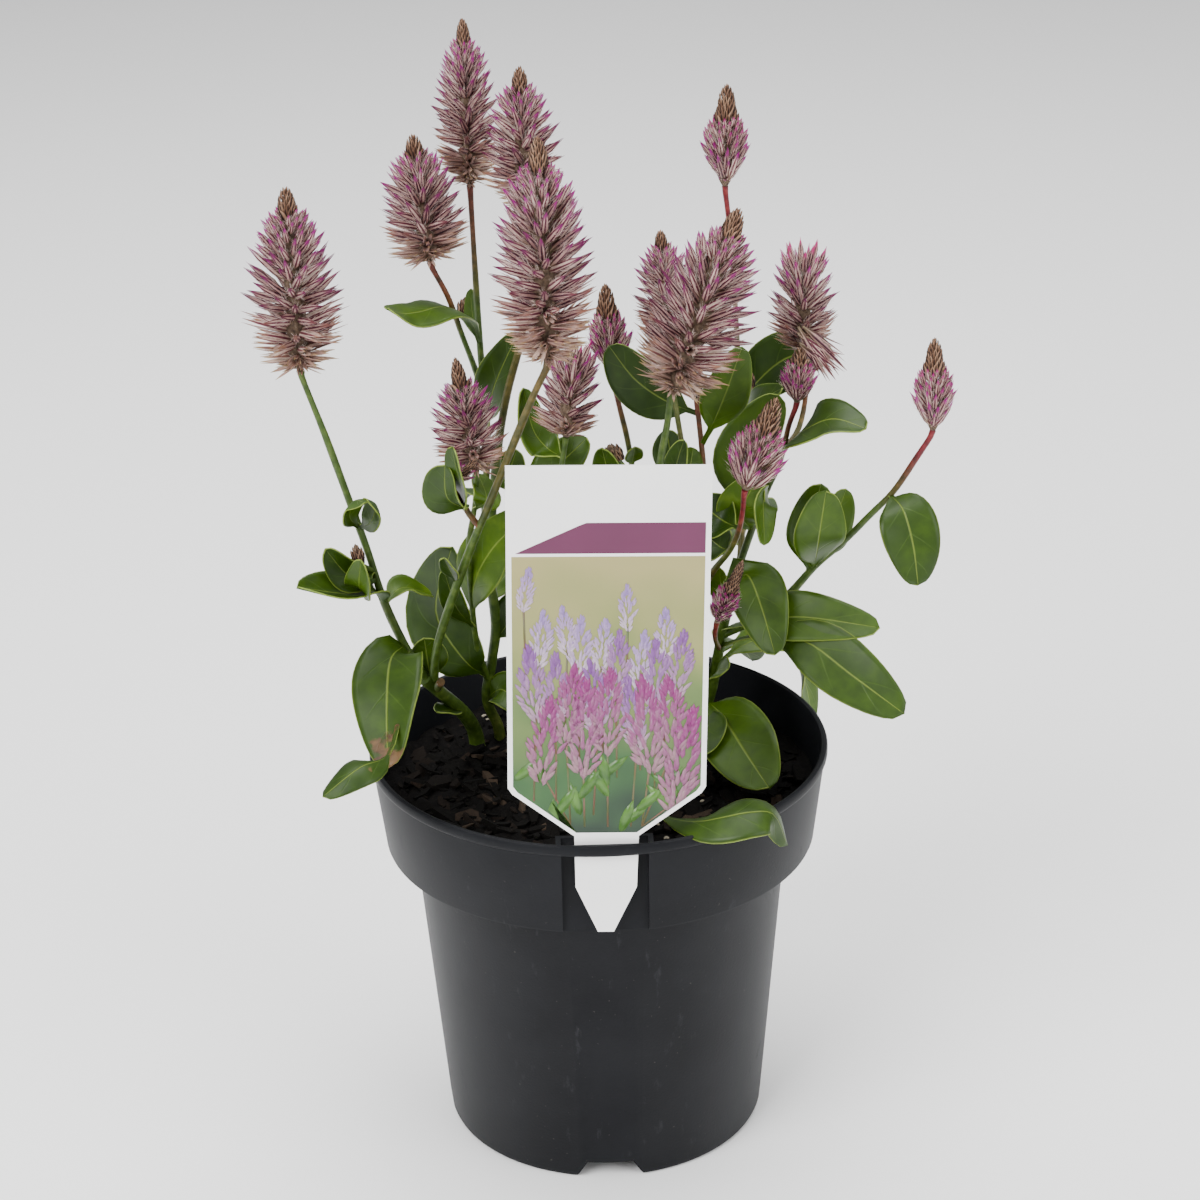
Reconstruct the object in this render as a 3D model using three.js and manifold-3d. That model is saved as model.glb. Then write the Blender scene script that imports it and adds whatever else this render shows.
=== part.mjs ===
// Potted mulla mulla: a flowering perennial in a plastic nursery pot, with a plant tag in the pot's slot.
// Millimetres, +Z up. The origin is the middle of the underside, and the tag is at the front, towards -Y.

import * as THREE from "three";
import { mergeVertices } from "three/addons/utils/BufferGeometryUtils.js";
import Module from "manifold-3d";

const wasm = await Module();
wasm.setup();

// Driving dimensions of the pot: a 140 mm nursery pot
const RIM_R = 70;
const POT_H = 126;
const BASE_R = 49.5;
const NECK_R = 57.5; // top of the lower cone, under the shoulder
const BAND_R = 66; // bottom of the wide upper band
const SHOULDER_Z = 95.5;
const WALL = 1.5;
const BEAD_H = 3.3;
const BEAD_OUT = 0.7; // how far the bead stands proud of the band
const POT_SIDES = 32;
const POT_TURN = 1; // degrees that the slot and the feet are turned to the right of the front

// Slot for the tag: the band is set back, and the bead bridges it
const SLOT_W = 25;
const SLOT_FACE_Y = -63.4;

// Drainage channels under the floor
const CHANNELS = 4;
const CHANNEL_H = 6;
const CHANNEL_W_LOW = 22;
const CHANNEL_W_HIGH = 14;
const CHANNEL_START_R = 22;
const DRAIN_R = 4;
const DRAIN_AT_R = 36;

// Potting mix
const SOIL_Z = 111;
const SOIL_LUMP = 1.6;
const GAP = 0.3; // between pieces that touch
const ROOT_DEPTH = 13; // how deep a stem stands in the mix

// Plant tag
const TAG = {
  thick: 0.8,
  frontY: -66.8,
  centreX: 0.6,
  lean: -1.4, // degrees, top to the right
  panelW: 56,
  topZ: 240.5,
  shoulderZ: 143.5,
  neckZ: 128,
  neckW: 18.4,
  tailW: 17.6,
  taperZ: 111.5,
  tipZ: 96.8,
  tipW: 4.6,
};

// The view that the stems and leaves are placed by: a point is given as its place in a 1200 x 1200
// picture of the plant, with its depth behind the pot's axis in millimetres
const VIEW = { focal: 2911, back: 800, height: 519, aimZ: 172.3, roll: -0.022, centre: [595.2, 600] };
const EYE = new THREE.Vector3(0, -VIEW.back, VIEW.height);
const AHEAD = new THREE.Vector3(0, 0, VIEW.aimZ).sub(EYE).normalize();
const RIGHT = new THREE.Vector3(1, 0, 0);
const UP = RIGHT.clone().cross(AHEAD);

function seen([px, py, depth]) {
  const a = (px - VIEW.centre[0]) / VIEW.focal;
  const b = (py - VIEW.centre[1]) / VIEW.focal;
  const c = Math.cos(VIEW.roll);
  const s = Math.sin(VIEW.roll);
  const ray = AHEAD.clone()
    .addScaledVector(RIGHT, c * a + s * b)
    .addScaledVector(UP, s * a - c * b);
  return EYE.clone().addScaledVector(ray, (depth - EYE.y) / ray.y);
}

function pictured(point) {
  const d = point.clone().sub(EYE);
  const far = d.dot(AHEAD);
  const x = (VIEW.focal * d.dot(RIGHT)) / far;
  const y = (-VIEW.focal * d.dot(UP)) / far;
  const c = Math.cos(VIEW.roll);
  const s = Math.sin(VIEW.roll);
  return [VIEW.centre[0] + c * x - s * y, VIEW.centre[1] + s * x + c * y];
}

// Colours and finishes
const plastic = (color, roughness) => new THREE.MeshStandardMaterial({ color, roughness, metalness: 0 });
const POT_GREY = plastic(0x3a3b3e, 0.45);
const TAG_WHITE = plastic(0xf6f5f2, 0.35);
const SOIL_BROWN = plastic(0x1d1612, 0.95);
const LEAF_GREEN = plastic(0x3f6b22, 0.5);
const BLOOM_MAUVE = plastic(0x94747f, 0.8);
const BUD_BROWN = plastic(0x7b5a4a, 0.8);

// A small seeded generator, so that each run makes the same plant
function seeded(seed) {
  let a = seed >>> 0;
  return () => {
    a = (a + 0x6d2b79f5) >>> 0;
    let t = Math.imul(a ^ (a >>> 15), 1 | a);
    t = (t + Math.imul(t ^ (t >>> 7), 61 | t)) ^ t;
    return ((t ^ (t >>> 14)) >>> 0) / 4294967296;
  };
}

// Between three.js meshes and manifold-3d solids
function solid(geometry) {
  const bare = geometry.clone();
  bare.deleteAttribute("normal");
  bare.deleteAttribute("uv");
  const merged = mergeVertices(bare, 1e-4);
  return new wasm.Manifold(
    new wasm.Mesh({
      numProp: 3,
      vertProperties: merged.attributes.position.array,
      triVerts: new Uint32Array(merged.index.array),
    }),
  );
}

function geometryOf(made) {
  const mesh = made.getMesh();
  return new THREE.BufferGeometry()
    .setAttribute("position", new THREE.BufferAttribute(mesh.vertProperties, 3))
    .setIndex(new THREE.BufferAttribute(mesh.triVerts, 1));
}

const SLIVER = 0.18; // the unions leave slivers narrower than this, and they are merged away
const joined = (parts) => wasm.Manifold.union(parts);

// The largest connected body of a solid: a scrap left by a cut is dropped
function mainBody(made) {
  return made.decompose().sort((a, b) => b.volume() - a.volume())[0];
}

function box(x, y, z) {
  return solid(
    new THREE.BoxGeometry(x[1] - x[0], y[1] - y[0], z[1] - z[0]).translate(
      (x[0] + x[1]) / 2,
      (y[0] + y[1]) / 2,
      (z[0] + z[1]) / 2,
    ),
  );
}

function turned(profile, sides) {
  const points = profile.map(([r, z]) => new THREE.Vector2(r, z));
  return new THREE.LatheGeometry(points, sides).rotateX(Math.PI / 2);
}

// Pot: outer and inner walls as profiles of [radius, height] from the axis outwards and up
const potOutside = [
  [0, 0],
  [BASE_R, 0],
  [NECK_R, SHOULDER_Z],
  [BAND_R, SHOULDER_Z],
  [RIM_R - BEAD_OUT, POT_H - BEAD_H],
  [RIM_R, POT_H - BEAD_H + 0.4],
  [RIM_R, POT_H - 0.7],
  [RIM_R - 0.7, POT_H],
  [0, POT_H],
];

function potInside(gap, top) {
  const rise = (RIM_R - BEAD_OUT - BAND_R) / (POT_H - BEAD_H - SHOULDER_Z);
  const wall = WALL + gap;
  return [
    [0, wall],
    [BASE_R - wall, wall],
    [NECK_R - wall, SHOULDER_Z + wall],
    [BAND_R - wall, SHOULDER_Z + wall],
    [BAND_R - wall + rise * (top - SHOULDER_Z), top],
    [0, top],
  ];
}

function channel(grow) {
  const across = (w) => w / 2 + grow;
  const high = CHANNEL_H + grow;
  const outline = new THREE.Shape([
    new THREE.Vector2(-across(CHANNEL_W_LOW), -1),
    new THREE.Vector2(across(CHANNEL_W_LOW), -1),
    new THREE.Vector2(across(CHANNEL_W_HIGH), high),
    new THREE.Vector2(-across(CHANNEL_W_HIGH), high),
  ]);
  const run = BASE_R + 10 - CHANNEL_START_R + grow;
  return new THREE.ExtrudeGeometry(outline, { depth: run, bevelEnabled: false })
    .rotateX(Math.PI / 2)
    .translate(0, -(CHANNEL_START_R - grow), 0);
}

function channels(grow) {
  return Array.from({ length: CHANNELS }, (_, i) =>
    solid(channel(grow).rotateZ((i * 2 * Math.PI) / CHANNELS)),
  );
}

function slotPocket(low) {
  return box([-SLOT_W / 2, SLOT_W / 2], [-RIM_R - 5, SLOT_FACE_Y], [low, POT_H - BEAD_H]);
}

function slotWall(grow, low, top) {
  const half = SLOT_W / 2 + WALL + grow;
  return box([-half, half], [-RIM_R - 5, SLOT_FACE_Y + WALL + grow], [low, top]);
}

function makePot() {
  const outside = solid(turned(potOutside, POT_SIDES));
  const inside = solid(turned(potInside(0, POT_H + 1), POT_SIDES));
  const shell = outside.subtract(inside);
  const cheeks = slotWall(0, SHOULDER_Z, POT_H).intersect(outside);
  const slotHole = box([-SLOT_W / 2, SLOT_W / 2], [-RIM_R + 2.2, SLOT_FACE_Y], [SHOULDER_Z + 1, POT_H + 1]);
  const roofs = joined(channels(WALL)).intersect(outside);
  const drains = Array.from({ length: CHANNELS }, (_, i) =>
    solid(
      new THREE.CylinderGeometry(DRAIN_R, DRAIN_R, 30, 12)
        .rotateX(Math.PI / 2)
        .translate(0, -DRAIN_AT_R, 0)
        .rotateZ((i * 2 * Math.PI) / CHANNELS),
    ),
  );
  return joined([shell, cheeks, roofs])
    .subtract(joined([slotPocket(SHOULDER_Z - 1), slotHole, ...channels(0), ...drains]));
}

// Potting mix: it fills the pot, and its top is raised in lumps by a formula
const SOIL_RINGS = 4;

function lump(x, y) {
  const coarse = Math.sin(x * 0.31 + 1.7) * Math.cos(y * 0.27 - 0.6);
  const fine = Math.sin(x * 0.83 - y * 0.61) * Math.sin(y * 0.77 + x * 0.35);
  return SOIL_LUMP * (0.6 * coarse + 0.5 * fine);
}

function makeSoil(roots) {
  const profile = potInside(GAP, SOIL_Z);
  const edge = profile[4][0];
  const side = profile.slice(0, 5);
  const top = Array.from({ length: SOIL_RINGS }, (_, i) => [edge * (1 - (i + 1) / SOIL_RINGS), SOIL_Z]);
  const body = turned([...side, ...top], POT_SIDES);
  const place = body.attributes.position;
  for (let i = 0; i < place.count; i++) {
    const x = place.getX(i);
    const y = place.getY(i);
    const inset = edge - Math.hypot(x, y);
    if (place.getZ(i) > SOIL_Z - 0.01 && inset > 1) place.setZ(i, SOIL_Z + lump(x, y));
  }
  const cut = [...channels(WALL + GAP), slotWall(GAP, SHOULDER_Z - 2, POT_H), ...roots];
  return mainBody(solid(body).subtract(joined(cut)));
}

// Tag: one stamped sheet, its tail pushed down between the bead and the set-back wall
function makeTag() {
  const h = TAG.panelW / 2;
  const half = [
    [TAG.tipW / 2, TAG.tipZ],
    [TAG.tailW / 2, TAG.taperZ],
    [TAG.neckW / 2, TAG.neckZ],
    [h - 1.2, TAG.shoulderZ - 2],
    [h, TAG.shoulderZ],
    [h, TAG.topZ],
  ];
  const outline = new THREE.Shape([
    ...half.map(([x, z]) => new THREE.Vector2(x, z - TAG.neckZ)),
    ...half.reverse().map(([x, z]) => new THREE.Vector2(-x, z - TAG.neckZ)),
  ]);
  return new THREE.ExtrudeGeometry(outline, { depth: TAG.thick, bevelEnabled: false })
    .rotateX(Math.PI / 2)
    .rotateY(THREE.MathUtils.degToRad(-TAG.lean))
    .translate(TAG.centreX, TAG.frontY + TAG.thick, TAG.neckZ);
}

// Stems: a tapered tube of a few sides along a smooth curve
const STEM_SIDES = 5;

function tube(curve, radiusAt, steps, sides = STEM_SIDES) {
  const frames = curve.computeFrenetFrames(steps, false);
  const points = curve.getSpacedPoints(steps);
  const place = [];
  const faces = [];
  points.forEach((p, i) => {
    const r = radiusAt(i / steps);
    for (let k = 0; k < sides; k++) {
      const a = (k * 2 * Math.PI) / sides;
      const v = p
        .clone()
        .addScaledVector(frames.normals[i], r * Math.cos(a))
        .addScaledVector(frames.binormals[i], r * Math.sin(a));
      place.push(v.x, v.y, v.z);
    }
  });
  for (let i = 0; i < steps; i++)
    for (let k = 0; k < sides; k++) {
      const a = i * sides + k;
      const b = i * sides + ((k + 1) % sides);
      faces.push(a, b, b + sides, a, b + sides, a + sides);
    }
  for (let k = 1; k < sides - 1; k++) {
    const end = steps * sides;
    faces.push(0, k + 1, k, end, end + k, end + k + 1);
  }
  return new THREE.BufferGeometry()
    .setAttribute("position", new THREE.Float32BufferAttribute(place, 3))
    .setIndex(faces);
}

// The point of a stem's curve nearest to a place in the picture
function pointOn(curve, [px, py]) {
  const samples = curve.getSpacedPoints(80);
  const away = (p) => Math.hypot(pictured(p)[0] - px, pictured(p)[1] - py);
  return samples.reduce((best, p) => (away(p) < away(best) ? p : best));
}

// The last stretch of a stem, in line with the spike or the bud that it bears
const STRAIGHT_END = 2.6;

function endUnder({ foot, tip }) {
  const end = seen(foot);
  const axis = seen(tip).sub(end).normalize();
  return [end.clone().addScaledVector(axis, -STRAIGHT_END), end];
}

const STEP_LENGTH = 19;

function makeStem(row, curves) {
  const start = row.root
    ? [
        new THREE.Vector3(row.root[0], row.root[1], SOIL_Z - ROOT_DEPTH),
        new THREE.Vector3(row.root[0], row.root[1], SOIL_Z + 3),
      ]
    : [pointOn(curves[row.on], row.from)];
  const end = row.bears ? endUnder(SPIKES[row.bears] ?? BUDS[row.bears]) : [];
  const points = [...start, ...row.route.map(seen), ...end];
  const curve = new THREE.CatmullRomCurve3(points, false, "centripetal");
  const steps = Math.max(2, Math.round(curve.getLength() / STEP_LENGTH));
  const [r0, r1] = row.thick;
  return { curve, solid: solid(tube(curve, (t) => r0 + (r1 - r0) * t, steps)) };
}

// Leaf: a folded blade, thick at its rib and sharp at its edges, on a short stalk
const LEAF_STATIONS = { large: [0, 0.16, 0.32, 0.5, 0.7, 0.88], small: [0, 0.25, 0.55, 0.85] };
const LARGE_LEAF = 12.5; // mm across, and more
const LEAF_RIB = 1.3;
const STALK_HALF = 0.75;
const LEAF_FOOT_POWER = 0.9; // the foot of a blade tapers, and its tip is blunt
const LEAF_TIP_POWER = 0.45;

function leafHalfWidth(t, wide, stalk, fullest) {
  const u = Math.max(0, (t - stalk) / (1 - stalk));
  const power = Math.log(0.5) / Math.log(fullest);
  const roundness = LEAF_FOOT_POWER + (LEAF_TIP_POWER - LEAF_FOOT_POWER) * u;
  return Math.max(STALK_HALF, (wide / 2) * Math.pow(Math.sin(Math.PI * Math.pow(u, power)), roundness));
}

function makeLeaf(row, curves) {
  const foot = pointOn(curves[row.on], row.from);
  const route = [foot, ...(row.via ?? []).map(seen), seen(row.tip)];
  if (route.length === 2) {
    const bow = new THREE.Vector3(...row.face).normalize().multiplyScalar(row.arch ?? 0);
    route.splice(1, 0, foot.clone().lerp(route[1], 0.5).add(bow));
  }
  const curve = new THREE.CatmullRomCurve3(route, false, "centripetal");
  const place = [];
  const faces = [];
  const face = new THREE.Vector3(...row.face).normalize();
  const fold = THREE.MathUtils.degToRad(row.fold ?? 14);
  const rise = Math.sin(fold);
  const stations = LEAF_STATIONS[row.wide < LARGE_LEAF ? "small" : "large"];
  stations.forEach((t) => {
    const p = curve.getPoint(t);
    const along = curve.getTangent(t);
    const side = along.clone().cross(face).normalize();
    const up = side.clone().cross(along).normalize();
    const w = leafHalfWidth(t, row.wide, row.stalk ?? 0.12, row.fullest ?? 0.52);
    const edge = (sign) =>
      p.clone().addScaledVector(side, sign * w * Math.cos(fold)).addScaledVector(up, w * rise);
    const rib = (sign) => p.clone().addScaledVector(up, (sign * LEAF_RIB) / 2);
    [edge(-1), rib(1), edge(1), rib(-1)].forEach((v) => place.push(v.x, v.y, v.z));
  });
  const tip = curve.getPoint(1);
  place.push(tip.x, tip.y, tip.z);
  const last = stations.length - 1;
  for (let i = 0; i < last; i++)
    for (let k = 0; k < 4; k++) {
      const a = i * 4 + k;
      const b = i * 4 + ((k + 1) % 4);
      if (k % 2) faces.push(a, b, a + 4, b, b + 4, a + 4);
      else faces.push(a, b, b + 4, a, b + 4, a + 4);
    }
  for (let k = 0; k < 4; k++) faces.push(last * 4 + k, last * 4 + ((k + 1) % 4), (last + 1) * 4);
  faces.push(0, 2, 1, 0, 3, 2);
  return solid(
    new THREE.BufferGeometry()
      .setAttribute("position", new THREE.Float32BufferAttribute(place, 3))
      .setIndex(faces),
  );
}

// Flower spike: a slim core that ends in a cone of scales, and florets that stand out of it all round
const GOLDEN = Math.PI * (3 - Math.sqrt(5));
const CORE_SIDES = 6;
const SPIKE_SHAPES = {
  full: [[0, 0.3], [0.07, 0.78], [0.18, 1], [0.42, 0.97], [0.6, 0.82], [0.72, 0.62], [0.82, 0.3], [1, 0.05]],
  young: [[0, 0.28], [0.15, 0.5], [0.32, 0.85], [0.45, 1], [0.6, 0.8], [0.72, 0.55], [0.84, 0.36], [1, 0.05]],
};
const SPREAD = { full: [84, 34], young: [34, 22] }; // degrees from the axis, at the foot and at the top
const CORE_SHARE = 0.48;

function across(shape, s) {
  const keys = SPIKE_SHAPES[shape];
  const i = Math.max(1, keys.findIndex(([at]) => at >= s));
  const [a, ra] = keys[i - 1];
  const [b, rb] = keys[i];
  return ra + ((rb - ra) * (s - a)) / (b - a);
}

// A three-sided spindle: its foot is sunk in the core
function floret(foot, direction, length, radius, turn) {
  const side = new THREE.Vector3(-direction.y, direction.x, 0.01).normalize();
  const up = direction.clone().cross(side);
  const belly = foot.clone().addScaledVector(direction, length * 0.55);
  const ring = [0, 1, 2].map((k) => {
    const a = turn + (k * 2 * Math.PI) / 3;
    return belly
      .clone()
      .addScaledVector(side, radius * Math.cos(a))
      .addScaledVector(up, radius * Math.sin(a));
  });
  const tip = foot.clone().addScaledVector(direction, length);
  const place = [foot, ...ring, tip].flatMap((v) => [v.x, v.y, v.z]);
  const faces = [0, 2, 1, 0, 3, 2, 0, 1, 3, 4, 1, 2, 4, 2, 3, 4, 3, 1];
  return solid(
    new THREE.BufferGeometry()
      .setAttribute("position", new THREE.Float32BufferAttribute(place, 3))
      .setIndex(faces),
  );
}

function spikeCore(length, radius, shape, bud) {
  const rings = [0.03, 0.4, 1 - bud, 1 - bud * 0.66, 1 - bud * 0.33];
  const profile = [[0, GAP]];
  rings.forEach((s, i) => {
    const scales = s >= 1 - bud - 0.01;
    const share = scales ? 1 : CORE_SHARE;
    const bulge = scales && i % 2 ? 1.12 : 1;
    profile.push([Math.max(1.1, radius * across(shape, s) * share * bulge), GAP + s * (length - GAP)]);
  });
  profile.push([0, length]);
  return turned(profile, CORE_SIDES);
}

function makeSpike(row) {
  const foot = seen(row.foot);
  const tip = seen(row.tip);
  const length = foot.distanceTo(tip);
  const random = seeded(row.seed);
  const bud = row.bud ?? 0.2;
  const shape = row.shape ?? "full";
  const parts = [solid(spikeCore(length, row.radius, shape, bud))];
  const [low, high] = SPREAD[shape];
  for (let i = 0; i < row.florets; i++) {
    const s = 0.05 + (0.93 - bud) * ((i + 0.5) / row.florets);
    const up = Math.pow(s / (1 - bud), 0.8);
    const lean = THREE.MathUtils.degToRad(low + (high - low) * up + 8 * (random() - 0.5));
    const a = i * GOLDEN + 0.3 * (random() - 0.5);
    const outward = new THREE.Vector3(Math.cos(a), Math.sin(a), 0);
    const direction = outward.clone().multiplyScalar(Math.sin(lean)).setZ(Math.cos(lean));
    const reach = (row.radius * across(shape, s)) / Math.sin(lean);
    const size = Math.min(17, reach) * (0.94 + 0.12 * random());
    const at = new THREE.Vector3(0, 0, s * length - 0.25 * size * Math.cos(lean));
    at.z = Math.max(1.5, at.z);
    const thick = 2.5 * Math.min(1, 0.55 + size / 30);
    parts.push(floret(at, direction, size, thick, random() * 2));
  }
  const upright = new THREE.Quaternion().setFromUnitVectors(
    new THREE.Vector3(0, 0, 1),
    tip.clone().sub(foot).normalize(),
  );
  return { made: mainBody(joined(parts).simplify(SLIVER)), foot, upright };
}

// Leafy stems. A stem starts at its root [x, y] in the mix, or on another stem near a place in the view
const SHOOTS = {
  shoot_left: {
    stems: {
      a_trunk: { root: [-38.5, 27], route: [[466, 716, 20], [438, 690, 10], [424, 678, 5]],
        thick: [2.6, 2.1] },
      a_long: {
        on: "a_trunk",
        from: [429, 684],
        route: [[410, 655, 1], [385, 604, -3], [368, 552, -5], [349, 500, -6], [325, 435, -6]],
        bears: "spike_left",
        thick: [1.4, 0.9],
      },
      a_front: {
        on: "a_trunk",
        from: [433, 687],
        route: [
          [436, 652, 0],
          [450, 605, -9],
          [470, 550, -19],
          [492, 497, -29],
          [515, 440, -37],
          [535, 392, -43],
        ],
        bears: "spike_great",
        thick: [1.45, 1],
      },
      a_nodding: {
        on: "a_front",
        from: [478, 527],
        route: [[469, 514, -24], [461, 498, -26]],
        bears: "spike_nodding",
        thick: [0.9, 0.75],
      },
      a_bud: { on: "a_long", from: [371, 574], route: [], bears: "bud_left", thick: [0.8, 0.7] },
      a_stub: { on: "a_trunk", from: [436, 690], route: [[441, 682, -1]], thick: [1.4, 1.2] },
    },
    leaves: [
      { on: "a_long", from: [404, 645], via: [[391, 660, -16], [387, 708, -34]], tip: [388, 767, -52],
        wide: 21.5, face: [-0.15, -0.95, 0.3], fold: 7, stalk: 0.02, fullest: 0.46 },
      { on: "a_long", from: [406, 650], via: [[401, 700, -28], [386, 757, -58], [360, 768, -67]],
        tip: [323, 797, -73], wide: 11.5, face: [-0.35, -0.6, 0.7], fold: -22, stalk: 0.5,
        fullest: 0.45 },
      { on: "a_trunk", from: [430, 684], tip: [424, 638, 5], wide: 13, face: [0.3, -0.9, 0.2] },
      { on: "a_long", from: [384, 606], via: [[374, 592, -8], [345, 594, -16]], tip: [297, 588, -24],
        wide: 17, face: [-0.1, -0.35, 0.95], fold: 26, stalk: 0.1 },
      { on: "a_long", from: [386, 603], via: [[402, 588, 4]], tip: [432, 596, 10], wide: 10,
        face: [0, -0.3, 1], fold: 20 },
      { on: "a_long", from: [372, 572], via: [[352, 577, -12]], tip: [325, 549, -18], wide: 11,
        face: [-0.2, -0.8, 0.6], fold: 22, stalk: 0.05 },
      { on: "a_long", from: [374, 580], via: [[360, 588, -20]], tip: [361, 560, -27], wide: 9,
        face: [-0.3, -0.9, 0.2], stalk: 0.05 },
      { on: "a_long", from: [357, 527], via: [[349, 516, -14], [354, 501, -18]], tip: [365, 503, -22],
        wide: 8, face: [0.6, -0.5, -0.5], fold: 20, stalk: 0.05 },
      { on: "a_long", from: [358, 528], via: [[371, 522, -12], [376, 505, -16]], tip: [366, 499, -20],
        wide: 8, face: [-0.8, -0.5, -0.4], fold: 20, stalk: 0.05 },
      { on: "a_front", from: [457, 584], tip: [444, 558, -22], wide: 6, face: [-0.4, -0.9, 0.3] },
      { on: "a_nodding", from: [466, 509], via: [[448, 498, -30]], tip: [445, 465, -33], wide: 15,
        face: [-0.5, -0.8, 0.3], fold: 20, stalk: 0.05 },
      { on: "a_nodding", from: [466, 509], via: [[462, 488, -34]], tip: [452, 447, -36], wide: 10,
        face: [-0.8, -0.6, 0.2], fold: 18, stalk: 0.05 },
      { on: "a_trunk", from: [458, 712], tip: [437, 712, 4], wide: 8, face: [-0.2, -0.7, 0.7],
        stalk: 0.05 },
    ],
  },
  shoot_back: {
    stems: {
      b_trunk: {
        root: [-31.5, 33],
        route: [
          [487, 700, 30],
          [492, 660, 27],
          [496, 625, 25],
          [491, 580, 22],
          [491, 540, 20],
          [494, 490, 18],
          [499, 440, 16],
          [508, 390, 14],
          [521, 340, 12],
          [527, 280, 11],
        ],
        bears: "spike_behind",
        thick: [1.9, 0.95],
      },
      b_tall: {
        on: "b_trunk",
        from: [490, 560],
        route: [
          [485, 515, 24],
          [487, 460, 27],
          [487, 420, 28],
          [482, 370, 29],
          [477, 300, 30],
        ],
        bears: "spike_tall",
        thick: [1.15, 0.85],
      },
      b_side: {
        on: "b_tall",
        from: [486, 402],
        route: [[474, 366, 23], [462, 335, 19], [448, 297, 16]],
        bears: "spike_side",
        thick: [0.95, 0.8],
      },
      b_low: {
        on: "b_trunk",
        from: [489, 682],
        route: [[478, 650, 20], [471, 594, 12], [469, 545, 6], [475, 503, 2]],
        bears: "spike_low",
        thick: [1.1, 0.8],
      },
      b_bud: { on: "b_tall", from: [478, 338], route: [[469, 326, 35]], bears: "bud_back",
        thick: [0.8, 0.7] },
    },
    leaves: [
      { on: "b_low", from: [483, 676], via: [[468, 664, 20], [437, 616, 24]], tip: [452, 547, 18],
        wide: 21, face: [-0.35, -0.8, 0.5], fold: 10, stalk: 0.12, fullest: 0.56 },
      { on: "b_tall", from: [478, 346], via: [[467, 320, 20], [440, 305, 6]], tip: [387, 309, -6],
        wide: 15, face: [-0.1, -0.4, 0.95], fold: 18, stalk: 0.08 },
      { on: "b_tall", from: [478, 340], tip: [471, 289, 36], wide: 6, face: [-0.6, -0.7, 0], arch: 1 },
      { on: "b_tall", from: [487, 430], via: [[494, 388, 20]], tip: [518, 333, 18], wide: 13,
        face: [-0.5, -0.8, 0.1], fold: 24, stalk: 0.1 },
      { on: "b_low", from: [473, 622], via: [[474, 586, 10], [490, 552, 6]], tip: [530, 512, 2],
        wide: 18, face: [-0.4, -0.75, 0.5], fold: 10 },
      { on: "b_low", from: [473, 628], via: [[456, 606, 4]], tip: [444, 570, -2], wide: 8,
        face: [-0.2, -0.9, 0.3] },
      { on: "b_trunk", from: [495, 486], via: [[506, 478, 26]], tip: [517, 450, 28], wide: 12,
        face: [-0.2, -0.9, 0.3] },
      { on: "b_low", from: [475, 508], via: [[486, 500, -4]], tip: [478, 474, 12], wide: 9,
        face: [0.3, -0.9, 0.3] },
      { on: "b_trunk", from: [496, 640], via: [[514, 618, 22]], tip: [545, 600, 16], wide: 15,
        face: [0.1, -0.8, 0.6] },
      { on: "b_trunk", from: [488, 696], via: [[503, 690, 22]], tip: [524, 712, 14], wide: 13,
        face: [0.2, -0.8, 0.6] },
      { on: "b_trunk", from: [492, 602], via: [[498, 585, 34]], tip: [520, 560, 44], wide: 14,
        face: [0.2, 0.7, 0.7], fold: 16 },
      { on: "b_tall", from: [486, 500], via: [[476, 488, 38]], tip: [455, 505, 50], wide: 14,
        face: [-0.3, 0.6, 0.8], fold: 16 },
    ],
  },
  shoot_middle: {
    stems: {
      c_trunk: { root: [-2, 24], route: [[598, 715, 22], [594, 680, 20]], thick: [2.3, 1.8] },
      c_left: {
        on: "c_trunk",
        from: [597, 705],
        route: [[590, 640, 14], [576, 560, 4], [564, 500, -3], [562, 466, -6]],
        bears: "spike_under",
        thick: [1.4, 0.85],
      },
      c_orange: {
        on: "c_trunk",
        from: [595, 690],
        route: [[606, 620, 24], [626, 545, 25], [633, 490, 24], [629, 448, 22], [619, 405, 21]],
        bears: "spike_orange",
        thick: [1.2, 0.75],
      },
      c_leaning: {
        on: "c_trunk",
        from: [598, 712],
        route: [[626, 640, 10], [645, 570, -4], [656, 510, -13], [660, 464, -18], [667, 425, -22]],
        bears: "spike_leaning",
        thick: [1.5, 1],
      },
      c_hidden: {
        on: "c_leaning",
        from: [627, 638],
        route: [[660, 580, 4], [680, 520, 2], [684, 464, 0], [677, 415, -3], [671, 378, 5]],
        bears: "spike_screened",
        thick: [1.1, 0.8],
      },
      c_bud: { on: "c_orange", from: [632, 485], route: [[626, 470, 14]], bears: "bud_middle",
        thick: [0.9, 0.8] },
    },
    leaves: [
      { on: "c_left", from: [562, 458], via: [[547, 448, 2], [534, 432, 3]], tip: [523, 388, 4],
        wide: 12, face: [0.3, -0.9, 0.3], fold: 24, stalk: 0.08, fullest: 0.45 },
      { on: "c_left", from: [566, 512], via: [[552, 478, 6]], tip: [587, 438, 10], wide: 15,
        face: [-0.3, -0.8, 0.5] },
      { on: "c_bud", from: [622, 465], via: [[609, 470, 1]], tip: [602, 448, -4], wide: 9,
        face: [-0.2, -0.95, 0.1], stalk: 0.05 },
      { on: "c_orange", from: [631, 464], tip: [635, 447, 14], wide: 6, face: [0.2, -0.95, 0.1] },
      { on: "c_hidden", from: [684, 480], via: [[672, 458, 8]], tip: [667, 430, 10], wide: 11,
        face: [-0.2, -0.9, 0.2] },
      { on: "c_hidden", from: [683, 490], via: [[676, 470, -8]], tip: [684, 440, -10], wide: 8,
        face: [-0.4, -0.9, 0.2], fold: 20 },
      { on: "c_hidden", from: [684, 484], tip: [693, 448, 8], wide: 8, face: [0.3, -0.9, 0.1], arch: 1 },
      { on: "c_left", from: [570, 540], via: [[552, 530, 10]], tip: [528, 490, 12], wide: 15,
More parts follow.
